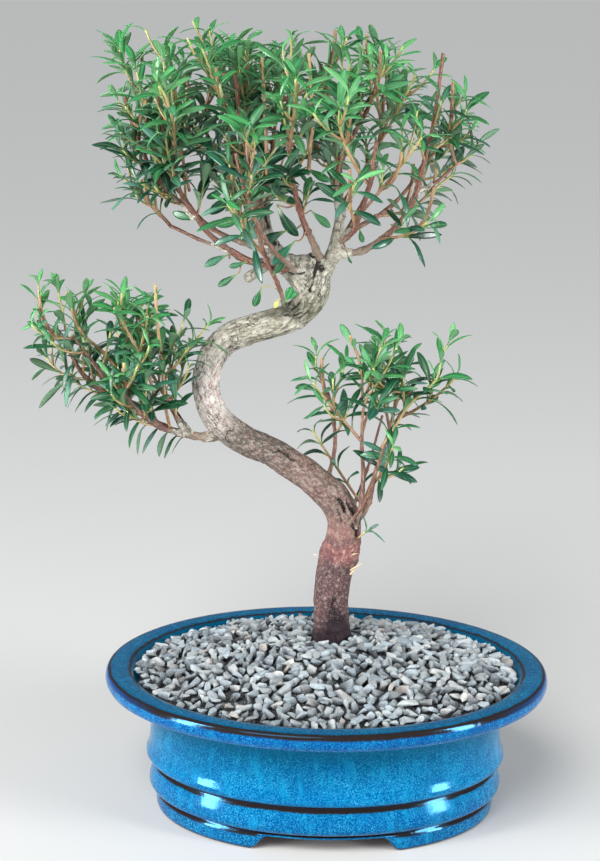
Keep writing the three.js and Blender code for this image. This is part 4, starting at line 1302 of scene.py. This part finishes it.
def wood_samples(rows):
    points, radii, pulls = [], [], []
    for (start, end), centres in rows:
        last = len(centres) - 1
        for i in range(last):
            a, b = np.array(centres[i], float), np.array(centres[i + 1], float)
            ra = start + (end - start) * i / last
            rb = start + (end - start) * (i + 1) / last
            for k in range(6):
                points.append(a + (b - a) * k / 6)
                radii.append(ra + (rb - ra) * k / 6)
                pulls.append(0)
        points.append(np.array(centres[-1], float))
        radii.append(end)
        pulls.append(TWIG_END_PULL)
    return np.array(points), np.array(radii), np.array(pulls, float)


def spray_path(tip, toward, reach, samples, taken):
    points, radii, pulls = samples
    wanted = tip - toward * reach
    order = np.argsort(np.linalg.norm(points - wanted, axis=1) - pulls, kind="stable")
    for base in order[:60]:
        bend = tip - toward * 0.45 * np.linalg.norm(tip - points[base])
        path = Bend(points[base], bend, tip)
        way = np.array([path.at(k / STEM_CHECKS) for k in range(STEM_CHECKS + 1)])
        beyond = way[np.linalg.norm(way - points[base], axis=1) > radii[base] + STEM_LEAVE]
        gap = np.linalg.norm(beyond[:, None] - points[None], axis=2)
        if (gap < radii[None] + 2).any():
            continue
        if taken and (np.linalg.norm(way[:, None] - np.vstack(taken)[None], axis=2) < STEM_APART).any():
            continue
        taken.append(way)
        return path
    return None


def stem_frame(path, share, east):
    axis = path.heading(share)
    side = unit(east - east.dot(axis) * axis)
    return path.at(share), axis, side, np.cross(axis, side)


def stem_east(path, index):
    chord = unit(path.end - path.start)
    level = unit(np.cross([0, 1, 0], chord))
    turn = draw(index, 0, 10) * math.pi
    return (level * math.cos(turn) + np.cross(chord, level) * math.sin(turn)
            + chord * chord.dot(level) * (1 - math.cos(turn)))


def leaf_ways(stand, face, bend_deg, lift):
    """The leaf's heading, the way across it and the way under it."""
    _, axis, side, other = stand
    bearing = face * math.pi / 2 + math.radians(bend_deg)
    away = side * math.cos(bearing) + other * math.sin(bearing)
    across = np.cross(axis, away)
    heading = unit(away + axis * lift)
    return heading, across, np.cross(across, heading)


def tip_points(stand, leaf, bend):
    heading, across, under = leaf_ways(stand, leaf["face"], leaf["bend"] + bend, leaf["lift"])
    end = stand[0] + heading * leaf["length"] + under * leaf["length"] * LEAF_SAG
    half = leaf["width"] * LEAF_BLUNT / 2
    return end + across * half, end - across * half


def spray_leaves(name, path, index, east):
    """The leaves of a spray that the solids kept, each with the bearing it was turned to."""
    length = path.length()
    count = max(2, math.floor((length - FIRST_PAIR - 3) / PAIR_PITCH) + 1)
    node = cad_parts[name].data
    tree = KDTree(len(node.vertices))
    for i, vertex in enumerate(node.vertices):
        tree.insert(vertex.co, i)
    tree.balance()
    kept = []
    pairs = []
    for k in range(count):
        share = 1 - (3 + (count - 1 - k) * PAIR_PITCH) / length
        size = 1 - 0.3 * math.exp(-1.2 * (count - 1 - k))
        pairs.append(share)
        stand = stem_frame(path, share, east)
        for half in (0, 1):
            seed = index * 40 + k * 2 + half
            leaf = dict(
                face=(k % 2) + 2 * half,
                bend=24 * (draw(seed, 1, 11) - 0.5),
                lift=0.7 + 0.5 * (draw(seed, 4, 14) - 0.5),
                length=LEAF_LENGTH * size * (0.86 + 0.28 * draw(seed, 2, 12)),
                width=LEAF_WIDTH * size * (0.88 + 0.24 * draw(seed, 3, 13)),
                share=share, stand=stand, seed=seed,
            )
            for bend in BENDS:
                near = [tree.find(to_frame(p))[2] for p in tip_points(stand, leaf, bend)]
                if max(near) < 0.00005:
                    leaf["turned"] = bend
                    kept.append(leaf)
                    break
    return kept, pairs, length


# Leaves

# Along the leaf: share of its length, share of its half width, thickness in mm
LEAF_STATIONS = [
    (0.0, 0.15, 0.9), (0.1, 0.16, 0.75), (0.22, 0.32, 0.6), (0.35, 0.57, 0.55), (0.49, 0.81, 0.5),
    (0.62, 0.98, 0.5), (0.75, 0.95, 0.45), (0.87, 0.71, 0.4), (0.95, 0.4, 0.35),
]
LEAF_LOOP = [(-1, 0), (-0.55, 1), (0, 1), (0.55, 1), (1, 0), (0.55, -1), (0, -1), (-0.55, -1)]


def leaf_template():
    rows = []
    for t, half, thick in LEAF_STATIONS:
        for u, top in LEAF_LOOP:
            rows.append((t, u * half, top * thick / 2, u, float(top < 0)))
    rows.append((0.0, 0.0, 0.0, 0.0, 0.0))
    rows.append((1.0, 0.0, 0.0, 0.0, 0.0))
    faces = []
    n = len(LEAF_LOOP)
    for k in range(len(LEAF_STATIONS) - 1):
        for i in range(n):
            a, b = k * n + i, k * n + (i + 1) % n
            faces.append((a, a + n, b + n, b))
    last = (len(LEAF_STATIONS) - 1) * n
    start, end = len(rows) - 2, len(rows) - 1
    for i in range(n):
        faces.append((start, i, (i + 1) % n))
        faces.append((end, last + (i + 1) % n, last + i))
    return np.array(rows), faces


LEAF_ROWS, LEAF_FACES = leaf_template()


def leaf_points(centre, heading, across, under, length, half, form):
    """The points of one leaf that leaves its stem steeply and bows over to its tip."""
    fold, twist, wave, bow, sag = form
    t, u, lift, edge, below = LEAF_ROWS.T
    drop = length * ((sag + bow) * t * t - bow * t)
    slope = 2 * (sag + bow) * t - bow
    stretch = np.hypot(1, slope)
    down = (under - np.outer(slope, heading)) / stretch[:, None]
    side = np.outer(np.cos(twist * t), across) + np.sin(twist * t)[:, None] * down
    down = np.cos(twist * t)[:, None] * down - np.outer(np.sin(twist * t), across)
    vee = -fold * half * np.abs(u) + 0.2 * half * np.abs(u) ** 3
    ripple = 0.3 * np.sin(t * 8 + wave) * np.abs(u)
    rib = np.where(edge == 0, np.where(below > 0, 0.26, 0.1), 0) * (1 - t)
    return (centre + np.outer(t * length, heading) + np.outer(drop, under)
            + side * (u * half)[:, None] + down * (vee + ripple - lift + rib)[:, None])


def add_leaf(skin, centre, heading, across, under, length, width, draws, age, sag=LEAF_SAG):
    """One leaf, drawn shorter where it would pass the solids' box."""
    form = (draws.uniform(0.0, 0.34), draws.uniform(-0.5, 0.5), draws.uniform(0, 6.28),
            draws.uniform(0.15, 0.55), sag)
    life = np.array([age, draws.random(), draws.random()])
    _, _, _, edge, below = LEAF_ROWS.T
    for shorter in (1, 0.85, 0.7, 0.55):
        points = leaf_points(centre, heading, across, under, length * shorter, width / 2, form)
        if fits(points):
            leaf = np.column_stack([np.abs(edge), LEAF_ROWS[:, 0], below])
            skin.add(points, LEAF_FACES, 1, leaf=leaf, life=life)
            return


def add_stem(skin, path_points, radii, young, tone, sides=8):
    """A round stem with a clipped end; its cut face is marked for the material."""
    path = np.column_stack([path_points, radii])
    points, faces, along, turn = tube(path, sides, flat_end=True)
    share = along / max(along.max(), 1e-6)
    cut = np.zeros(len(points))
    cut[-1] = 1
    skin.add(points, faces, 0,
             leaf=np.column_stack([along, np.cos(turn), np.sin(turn)]),
             life=np.column_stack([young[0] + (young[1] - young[0]) * share,
                                   np.full(len(points), tone), cut]))


def random_turn(draws, axis, way, spread):
    """A way turned about an axis by a random amount."""
    turn = draws.uniform(-spread, spread)
    return way * math.cos(turn) + np.cross(axis, way) * math.sin(turn) + axis * axis.dot(way) * (
        1 - math.cos(turn))


CAD_LOW = (np.array(cad_bounds[0]) - ORIGIN) / MM
CAD_HIGH = (np.array(cad_bounds[1]) - ORIGIN) / MM
KEEP_IN = 0.8


def fits(points):
    """Whether one point or all of several lie well inside the solids' box."""
    return bool((points > CAD_LOW + KEEP_IN).all() and (points < CAD_HIGH - KEEP_IN).all())


LONG_LEAF = (21, 35)
LEAF_SCALE = {"crown": 1.0, "left": 0.97, "right": 0.9}
LEAF_SLIMNESS = (0.19, 0.27)


def add_pair(skin, centre, axis, side, draws, age, size, chance=1.0, lift=None):
    """Two opposite leaves at a place on a stem."""
    other = np.cross(axis, side)
    for sign in (1, -1):
        if draws.random() > chance:
            continue
        way = unit(side * sign + other * draws.uniform(-0.35, 0.35))
        up = draws.uniform(1.0, 2.2) if lift is None else lift * draws.uniform(0.85, 1.5)
        heading = unit(way + axis * up)
        across = unit(np.cross(axis, way))
        under = np.cross(across, heading)
        length = size * draws.uniform(*LONG_LEAF)
        width = length * draws.uniform(*LEAF_SLIMNESS)
        sag = draws.uniform(0.12, 0.62)
        end = centre + heading * length + under * length * sag
        if fits(end):
            add_leaf(skin, centre, heading, across, under, length, width, draws, age, sag=sag)


def add_shoot(skin, start, heading, length, draws, age, pairs, size=0.9):
    """A short side shoot with its pairs of leaves."""
    up = np.array([0, 0, 1.0])
    bend = unit(heading + up * draws.uniform(0.7, 1.8))
    middle = start + heading * length * 0.5
    end = middle + bend * length * 0.5
    if not fits(end + bend * 2):
        return
    shares = np.linspace(0, 1, 6)[:, None]
    line = bezier(start, middle, end, shares)
    add_stem(skin, line, np.linspace(1.05, 0.75, 6), (0.3, 1.0), draws.random(), sides=6)
    side = unit(np.cross(bend, [draws.gauss(0, 1), draws.gauss(0, 1), 0.3]))
    for k in range(pairs):
        share = (k + 0.7) / pairs
        centre = bezier(start, middle, end, share)
        side = np.cross(bend, side)
        side = unit(side - side.dot(bend) * bend)
        last = k == pairs - 1
        add_pair(skin, centre, bend, side, draws, age + 0.25 * last,
                 size * (0.78 if last else 1.0), lift=1.9 if last else 1.25)


def add_clipped(skin, start, heading, length, draws):
    """A bare shoot cut off square, a little thicker than the leafy ones."""
    up = np.array([0, 0, 1.0])
    end = start + unit(heading + up * 1.5) * length
    if not fits(end + up * 2):
        return
    shares = np.linspace(0, 1, 7)[:, None]
    middle = start + heading * length * 0.4
    line = bezier(start, middle, end, shares)
    radii = np.linspace(draws.uniform(1.3, 1.7), draws.uniform(1.1, 1.35), 7)
    add_stem(skin, line, radii, (0.0, draws.uniform(0.3, 0.75)), draws.random())


def fullness(point, pad):
    """How likely a place in a pad is to carry leaves: the fork and the lower right stay open."""
    x, y, z = point
    seen = z - 0.3 * (30 - y)
    if pad == "left":
        return 1 - float(smoothstep(-112, -100, x))
    if pad == "right":
        return 0.06 + 0.7 * float(smoothstep(292, 316, seen))
    if -78 < x < 36 and y < 50 and 390 < seen < (498 if x > -16 else 468):
        return 0.0
    if x > 8 and z > 400:
        return 0.08 + 0.8 * float(smoothstep(490, 560, seen))
    return 1.0


def make_sprays():
    materials = [shoot_material(), leaf_material()]
    index = 0
    for pad, rows in WOOD.items():
        samples = wood_samples(rows)
        taken = []
        for k, (tip, toward, reach) in enumerate(spray_tips(PADS[pad])):
            path = spray_path(tip, toward, reach, samples, taken)
            if path is None:
                continue
            name = f"{pad}_spray_{k + 1:02d}"
            draws = random.Random(900 + index)
            east = stem_east(path, index)
            leaves, pairs, length = spray_leaves(name, path, index, east)
            skin = Skin()
            base_age = 0.05 + 0.45 * float(smoothstep(*PAD_HEIGHTS[pad], tip[2]))
            shares = np.linspace(0, 1, max(10, int(length / 3)))
            line = np.array([path.at(t) for t in shares])
            radii = STEM_RADIUS[0] + (STEM_RADIUS[1] - STEM_RADIUS[0] - 0.1) * shares
            for share in pairs:
                radii = radii + 0.22 * np.exp(-((shares - share) * length / 1.1) ** 2)
            add_stem(skin, line, radii, (0.0, 0.95), draws.random())
            for leaf in leaves:
                heading, across, under = leaf_ways(
                    leaf["stand"], leaf["face"], leaf["bend"] + leaf["turned"], leaf["lift"])
                age = base_age + 0.5 * leaf["share"] * draws.uniform(0.3, 1.0)
                longer = draws.uniform(1.02, 1.3)
                end = leaf["stand"][0] + (heading + under * LEAF_SAG) * leaf["length"] * longer
                if not fits(end):
                    longer = 1.0
                add_leaf(skin, leaf["stand"][0], heading, across, under, leaf["length"] * longer,
                         leaf["width"] * draws.uniform(0.7, 0.98), draws, age)
            # pairs between the solids' own, and short side shoots
            for number, share in enumerate(pairs[:-1]):
                between = share + 0.5 * PAIR_PITCH / length
                centre, axis, side, other = stem_frame(path, between, east)
                side = unit(side + other * (1 if number % 2 else -1))
                add_pair(skin, centre, axis, side, draws, base_age + 0.4 * between, 0.9,
                         chance=0.5 * fullness(centre, pad))
            count = max(2, int(length / (17 if pad == "crown" else 23)))
            for number in range(count):
                share = 0.1 + 0.74 * (number + draws.random()) / count
                centre, axis, side, other = stem_frame(path, share, east)
                way = random_turn(draws, axis, side, math.pi)
                heading = unit(way + axis * draws.uniform(0.8, 1.8))
                if draws.random() > fullness(centre + heading * 20, pad):
                    continue
                add_shoot(skin, centre, heading, draws.uniform(18, 36), draws,
                          base_age + 0.35 * share, draws.choice((2, 3, 3)),
                          LEAF_SCALE[pad] * draws.uniform(0.8, 1.05))
            if draws.random() < (0.75 if pad == "crown" else 0.4):
                centre, axis, side, other = stem_frame(path, draws.uniform(0.25, 0.7), east)
                way = random_turn(draws, axis, side, math.pi)
                add_clipped(skin, centre, unit(axis + way * 0.7), draws.uniform(20, 42), draws)
            # the tip is a tuft of small leaves or a clipped end
            centre, axis, side, other = stem_frame(path, 0.985, east)
            if draws.random() < 0.55:
                add_pair(skin, centre, axis, unit(side + other), draws, 0.95, 0.62, lift=1.7)
            skin.piece(f"{name}_leaves", materials, "leaf", replaces=[name])
            index += 1
    for pad, rows in WOOD.items():
        make_inner_shoots(pad, rows, materials)


INNER = {"crown": (13.0, 4, 470), "left": (17.0, 0, 312), "right": (19.0, 0, 290)}
# Leaves are younger and lighter towards the top of each range; the older, darker leaves lower down
# stand partly for painted shade
PAD_HEIGHTS = {"crown": (480, 605), "left": (330, 405), "right": (318, 412)}


# Long straight shoots that stand out in a pad: places, foot radius, bare share, clipped or not
WANDS = {
    "crown": [
        ([(-108, 0, 496), (-118, -4, 548), (-122, -5, 590)], 1.6, 0.3, False),
        ([(-132, 2, 520), (-140, -2, 556), (-146, -5, 584)], 1.3, 0.2, False),
        ([(-60, -4, 500), (-66, -8, 550), (-71, -10, 588)], 1.6, 0.4, False),
        ([(-50, -2, 500), (-52, -8, 550), (-55, -9, 597)], 1.9, 0.5, True),
        ([(-20, -2, 510), (-18, -10, 555), (-21, -12, 600)], 1.9, 0.6, True),
        ([(2, 0, 510), (10, -8, 550), (16, -10, 594)], 1.5, 0.4, False),
    ],
    "left": [
        ([(-199, 0, 371), (-203, 3, 395), (-207, 5, 416)], 1.5, 0.1, False),
        ([(-150, 6, 338), (-172, 5, 368), (-191, 5, 387), (-201, 5, 417)], 1.9, 0.35, True),
        ([(-124, 14, 308), (-127, 6, 330), (-129, 5, 361), (-133, 4, 398), (-134, 4, 424)],
         1.7, 0.25, True),
        ([(-134, 8, 330), (-141, 4, 357), (-157, 2, 392), (-165, 2, 406)], 1.6, 0.3, True),
    ],
    "right": [
        ([(24, 12, 304), (26, 8, 332), (41, 6, 359), (49, 6, 377)], 1.6, 0.35, False),
        ([(24, 10, 336), (22, 6, 362), (13, 6, 386)], 1.3, 0.4, True),
        ([(27, 10, 340), (30, 6, 352), (37, 6, 377)], 1.3, 0.2, False),
        ([(18, 24, 226), (33, 20, 265), (39, 20, 291), (48, 20, 306), (61, 20, 328), (80, 18, 348),
          (84, 18, 366), (88, 18, 376)], 1.5, 0.5, False),
        ([(-1, 36, 326), (-11, 30, 352), (-12, 28, 364)], 1.2, 0.3, False),
        ([(1, 36, 322), (10, 28, 356)], 1.2, 0.3, False),
        ([(19, 22, 216), (24, 20, 219), (29, 18, 224)], 0.8, 0.7, False),
    ],
}
WAND_PITCH = 13

# Leaves of the little shoot under the fork, the last one yellow: foot, tip, width and age
FORK_LEAVES = [
    ((-54, 12, 421), (-60, 12, 406), 6.2, 0.5), ((-36, 14, 409), (-31, 11, 422), 7.0, 0.8),
    ((-35, 14, 411), (-27, 12, 418), 4.5, 0.7), ((-41, 15, 412), (-44, 12, 405), 4.6, 1.7),
    ((-46, 12, 430), (-38, 8, 441), 6.0, 0.3),
]
FORK_STALK = [(-42, 18, 418), (-48, 15, 421), (-54, 12, 421)]

# Single leaves in front of the open fork: foot across and up, tip across and up, and age
FRONT_LEAVES = [
    ((-43, 485), (-28, 460), 0.25), ((-34, 466), (-56, 455), 0.15), ((-29, 458), (-46, 441), 0.1),
    ((-57, 479), (-70, 458), 0.3), ((-65, 475), (-88, 468), 0.45), ((-72, 494), (-94, 477), 0.15),
    ((-79, 498), (-96, 488), 0.4), ((-65, 440), (-79, 436), 0.3), ((-72, 431), (-87, 421), 0.35),
    ((-79, 446), (-97, 438), 0.3), ((-24, 486), (-18, 506), 0.6), ((-18, 481), (-3, 469), 0.45),
    ((-22, 513), (-4, 503), 0.6), ((19, 469), (22, 457), 0.5), ((10, 449), (14, 441), 0.4),
    ((-68, 526), (-59, 492), 0.9), ((-62, 477), (-59, 460), 0.3), ((-100, 473), (-122, 476), 0.5),
]
FRONT_DEPTH = 10


def add_wand(skin, wand, draws):
    """A long straight shoot with its opposite pairs of leaves above a bare foot."""
    places, foot, bare, clipped = wand
    line = smooth_path([(*place, 0) for place in places], 3)[:, :3]
    tangents, east, north = path_frames(line)
    along = run_along(line)
    length = along[-1]
    end = 1.25 if clipped else 0.75
    # the thinnest shoot is an old weak one with small dark leaves
    fresh, scale = (1, 1) if foot > 1 else (0.35, 0.75)
    radii = foot * 0.76 + (end - foot * 0.76) * along / length
    add_stem(skin, line, radii, (0.15, 0.6 if clipped else 1.0), draws.random())
    place = bare * length
    number = 0
    while place < length:
        i = min(int(np.searchsorted(along, place)), len(line) - 1)
        side = east[i] if number % 2 else north[i]
        share = place / length
        if not (clipped and share > 0.86):
            add_pair(skin, line[i], tangents[i], side, draws, fresh * (0.25 + 0.6 * share),
                     scale * (1.0 - 0.2 * share), chance=0.92, lift=1.15 + 0.5 * share)
        place += WAND_PITCH * draws.uniform(0.8, 1.15)
        number += 1
    if not clipped:
        add_pair(skin, line[-1], tangents[-1], east[-1], draws, 0.95 * fresh, 0.7 * scale, lift=1.9)


def add_hanging(skin, path, draws):
    """Single leaves that bow down from the underside of a long low branch."""
    for i in range(14, len(path) - 4, 4):
        heading = unit([-draws.uniform(0.5, 1.1), draws.uniform(-0.9, 0.6), draws.uniform(-0.5, 0.15)])
        across = unit(np.cross([0, 0, 1.0], heading))
        length = draws.uniform(19, 27)
        add_leaf(skin, path[i, :3], heading, across, np.cross(across, heading), length,
                 length * draws.uniform(*LEAF_SLIMNESS), draws, draws.uniform(0.1, 0.45),
                 sag=draws.uniform(0.4, 0.8))


def add_front_leaves(skin, rows, draws):
    """The leaves before the fork, each on a thin twig from the nearest wood."""
    wood = np.vstack([wood_path(row)[:, :3] for row in rows])
    for (foot_x, foot_z), (tip_x, tip_z), age in FRONT_LEAVES:
        foot = np.array([foot_x, FRONT_DEPTH + draws.uniform(-3, 3), foot_z], float)
        tip = np.array([tip_x, foot[1] + draws.uniform(-7, 3), tip_z], float)
        start = wood[np.linalg.norm(wood - foot, axis=1).argmin()]
        middle = (start + foot) / 2 + [0, -2, draws.uniform(-4, 1)]
        twig = smooth_path([(*place, 0) for place in (start, middle, foot)], 2)[:, :3]
        add_stem(skin, twig, np.linspace(0.9, 0.5, len(twig)), (0.0, 0.4), draws.random(), sides=6)
        heading = unit(tip - foot)
        across = unit(np.cross([draws.uniform(-0.5, 0.5), -1, draws.uniform(-0.4, 0.4)], heading))
        length = np.linalg.norm(tip - foot)
        add_leaf(skin, foot, heading, across, np.cross(across, heading), length,
                 length * draws.uniform(0.29, 0.36), draws, age, sag=draws.uniform(-0.1, 0.15))


def make_inner_shoots(pad, rows, materials):
    """Older side shoots that stand along the woody branches and fill the inside of a pad."""
    pitch, first, lowest = INNER[pad]
    draws = random.Random(f"{pad} inner")
    middle = np.array([*PADS[pad]["centre"], lowest + 60])
    skin = Skin()
    for row in rows[first:]:
        path = wood_path(row)
        tangents, east, _ = path_frames(path[:, :3])
        along = run_along(path[:, :3])
        place = pitch
        while place < along[-1]:
            i = int(np.searchsorted(along, place))
            place += pitch * draws.uniform(0.6, 1.4)
            centre, axis = path[i, :3], tangents[i]
            if centre[2] < lowest:
                continue
            way = random_turn(draws, axis, east[i], math.pi)
            outward = unit((centre - middle) * [1, 1, 0.3] + 1e-6)
            heading = unit(way + outward * draws.uniform(0.0, 0.9) + axis * draws.uniform(0.4, 1.3))
            if draws.random() > fullness(centre + heading * 20, pad):
                continue
            # inner shoots carry old, dark leaves, partly as painted shade inside the pad
            age = 0.35 * float(smoothstep(*PAD_HEIGHTS[pad], centre[2])) + draws.uniform(0.0, 0.2)
            add_shoot(skin, centre, heading, draws.uniform(20, 42), draws, age,
                      draws.choice((2, 3, 3, 4)), LEAF_SCALE[pad] * draws.uniform(0.85, 1.1))
    for wand in WANDS[pad]:
        add_wand(skin, wand, draws)
    for foot, tip, width, age in FORK_LEAVES if pad == "crown" else ():
        way = np.array(tip, float) - foot
        heading = unit(way)
        across = unit(np.cross([0, -1, 0], heading))
        add_leaf(skin, np.array(foot, float), heading, across, np.cross(across, heading),
                 np.linalg.norm(way), width, draws, age, sag=0.0)
    if pad == "crown":
        stalk = smooth_path([(*place, 0) for place in FORK_STALK], 2)[:, :3]
        add_stem(skin, stalk, np.full(len(stalk), 0.45), (0.7, 0.9), 0.5, sides=6)
        add_front_leaves(skin, rows, draws)
    if pad == "left":
        add_hanging(skin, wood_path(rows[0]), draws)
    skin.piece(f"{pad}_inner_shoots", materials, "leaf")


def leaf_material():
    paint = Paint("myrtle_leaf", roughness=0.42, Specular_IOR_Level=0.3)
    edge, along, below = paint.split(paint.value("leaf", "Vector"))
    age, tone, mood = paint.split(paint.value("life", "Vector"))
    place = paint.place()
    patches = paint.noise(place, 95, 3, 0.55)
    # old leaves run down to near black, partly as painted shade inside the crown
    old = paint.ramp(tone, [(0, rgb(2, 42, 34)), (0.3, rgb(8, 62, 44)), (0.6, rgb(16, 86, 54)),
                            (0.85, rgb(10, 74, 62)), (1, rgb(42, 110, 86))])
    young = paint.ramp(tone, [(0, rgb(32, 132, 70)), (0.5, rgb(68, 160, 88)), (1, rgb(120, 194, 124))])
    # a pale blue-green painted sheen on some old leaves, stronger towards their tips
    painted_sheen = paint.maths("MULTIPLY", paint.span(mood, 0.72, 1.0, 0, 0.75), paint.span(along, 0.2, 0.7))
    old = paint.mix(painted_sheen, old, rgb(98, 152, 140))
    colour = paint.mix(paint.span(age, 0.25, 0.85), old, young)
    colour = paint.layered(colour, (patches, 0.45, 0.75, 0.35, (44, 122, 60)),
                           (along, 0.34, 0.0, 0.75, (158, 194, 104)))
    rib = paint.maths("MULTIPLY", paint.span(edge, 0.13, 0.02), paint.span(age, 0.2, 0.8, 0.24, 0.6))
    colour = paint.mix(rib, colour, rgb(150, 200, 130))
    colour = paint.layered(colour, (edge, 0.88, 1.0, 0.3, (138, 184, 124)))
    back = paint.mix(0.55, colour, rgb(140, 178, 140))
    colour = paint.mix(below, colour, back)
    colour = paint.mix(paint.span(age, 1.3, 1.6), colour, rgb(206, 204, 122))
    paint.colour(colour)
    paint.rough(paint.span(mood, 0, 1, 0.3, 0.52))
    veins = paint.maths("SINE", paint.maths("ADD", paint.maths("MULTIPLY", along, 60.0),
                                            paint.maths("MULTIPLY", edge, 7.0)))
    paint.bump(paint.maths("ADD", paint.maths("MULTIPLY", veins, 0.2), patches), 0.18, 0.0004)
    return paint.material


def shoot_material():
    paint = Paint("green_shoot", roughness=0.55, Specular_IOR_Level=0.4)
    young, tone, cut = paint.split(paint.value("life", "Vector"))
    place = paint.place()
    fibres = paint.noise(paint.scaled(paint.value("leaf", "Vector"), (0.25, 2.2, 2.2)), 1.0, 3, 0.6)
    old = paint.ramp(tone, [(0, rgb(100, 62, 50)), (0.6, rgb(130, 86, 64)), (1, rgb(152, 108, 80))])
    middle = paint.ramp(tone, [(0, rgb(156, 112, 74)), (1, rgb(188, 154, 102))])
    fresh = paint.ramp(tone, [(0, rgb(196, 188, 108)), (1, rgb(184, 200, 116))])
    colour = paint.mix(paint.span(young, 0.1, 0.55), old, middle)
    colour = paint.mix(paint.span(young, 0.55, 0.95), colour, fresh)
    paint.colour(paint.layered(colour, (fibres, 0.45, 0.7, 0.45, (224, 200, 150)),
                               (fibres, 0.45, 0.28, 0.45, (96, 66, 46)),
                               (cut, 0.04, 0.12, 1, (226, 206, 160))))
    paint.bump(paint.maths("ADD", fibres, paint.noise(place, 700, 2, 0.5)), 0.4, 0.0004)
    return paint.material


# Kept solids

def finish_kept_nodes():
    """The soil and the drainage screens keep their solids and get fuller materials."""
    earth = Paint("potting_earth", roughness=0.95)
    place = earth.place()
    grains = earth.noise(place, 260, 5, 0.7)
    clods = earth.cells(place, 140)
    colour = earth.ramp(grains, [(0.3, rgb(34, 26, 20)), (0.55, rgb(66, 50, 38)),
                                 (0.75, rgb(108, 88, 66))])
    earth.colour(earth.mix(earth.span(clods, 0.0, 0.3, 0.5, 0), colour, rgb(24, 19, 16)))
    earth.bump(earth.maths("ADD", grains, clods), 0.9, 0.002)
    mesh_plastic = Paint("screen_plastic", roughness=0.5)
    place = mesh_plastic.place()
    weave = mesh_plastic.noise(place, 500, 3, 0.6)
    mesh_plastic.colour(mesh_plastic.ramp(weave, [(0.3, rgb(20, 22, 26)), (0.7, rgb(48, 52, 58))]))
    mesh_plastic.bump(weave, 0.4, 0.0004)
    for name, paint in (("soil", earth), ("drain_screen_left", mesh_plastic),
                        ("drain_screen_right", mesh_plastic)):
        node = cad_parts[name]
        if not node.material_slots:
            node.data.materials.append(paint.material)
        for slot in node.material_slots:
            slot.material = paint.material


# Stage, light and camera

def make_stage():
    mesh = bpy.data.meshes.new("floor")
    reach = 14.0
    mesh.from_pydata([(-reach, -reach, 0), (reach, -reach, 0), (reach, reach, 0), (-reach, reach, 0)],
                     [], [(0, 1, 2, 3)])
    floor = bpy.data.objects.new("floor", mesh)
    bpy.context.scene.collection.objects.link(floor)
    paint = Paint("pale_floor", roughness=0.9)
    paint.colour(rgb(214, 214, 212))
    mesh.materials.append(paint.material)

    world = bpy.data.worlds.new("studio")
    bpy.context.scene.world = world
    world.use_nodes = True
    background = world.node_tree.nodes["Background"]
    background.inputs[0].default_value = (0.9, 0.94, 1.0, 1)
    background.inputs[1].default_value = 0.3

    def aimed(light, spot, target):
        place, aim = to_frame(spot), to_frame(target)
        direction = unit(aim - place)
        right = unit(np.cross(direction, [0, 0, 1.0]))
        matrix = np.eye(4)
        matrix[:3, 0], matrix[:3, 1] = right, np.cross(right, direction)
        matrix[:3, 2], matrix[:3, 3] = -direction, place
        light.matrix_world = Matrix(matrix.tolist())
        bpy.context.scene.collection.objects.link(light)
        return light

    def softbox(name, spot, target, size, power):
        data = bpy.data.lights.new(name, "AREA")
        data.shape = "RECTANGLE"
        data.size, data.size_y = size
        data.energy = power
        return aimed(bpy.data.objects.new(name, data), spot, target)

    sky = bpy.data.lights.new("overhead", "SUN")
    sky.energy = 1.9
    sky.angle = math.radians(28)
    aimed(bpy.data.objects.new("overhead", sky), (-620, -1450, 1950), (0, 0, 200))
    softbox("softbox_left", (-1500, -900, 700), (0, 0, 150), (0.45, 1.3), 30)
    softbox("softbox_right", (1500, -900, 700), (0, 0, 150), (0.35, 1.3), 25)
    # a standing pane beyond each end of the pot that only glossy surfaces show
    for name, across, power in (("left", -1530, 105), ("right", 1450, 80)):
        pane = softbox(f"pane_{name}", (across, -870, 610), (0, 0, 60), (0.34, 1.28), power)
        pane.visible_camera = False
        pane.visible_diffuse = False


# The photograph's camera: its place, how far it looks down and leans, and its focal length and
# the photograph's height, both in pixels
CAMERA_PLACE = (-23.55, -1600, 794)
CAMERA_DIP = 16.77
CAMERA_LEAN = 0.8
SENSOR = 36
FOCAL_PIXELS = 2183
PHOTO_HEIGHT = 861


def make_camera():
    data = bpy.data.cameras.new("camera")
    data.sensor_fit = "AUTO"
    data.sensor_width = SENSOR
    data.lens = SENSOR * FOCAL_PIXELS / PHOTO_HEIGHT
    data.clip_start, data.clip_end = 0.05, 60
    camera = bpy.data.objects.new("camera", data)
    camera.matrix_world = (Matrix.Translation(to_frame(CAMERA_PLACE))
                           @ Matrix.Rotation(math.radians(90 - CAMERA_DIP), 4, "X")
                           @ Matrix.Rotation(math.radians(CAMERA_LEAN), 4, "Z"))
    bpy.context.scene.collection.objects.link(camera)
    bpy.context.scene.camera = camera


make_camera()
make_stage()
make_pot()
make_gravel()
make_trunk()
make_branches()
make_sprays()
finish_kept_nodes()
bpy.context.scene.view_settings.view_transform = "Standard"

bpy.context.view_layer.update()
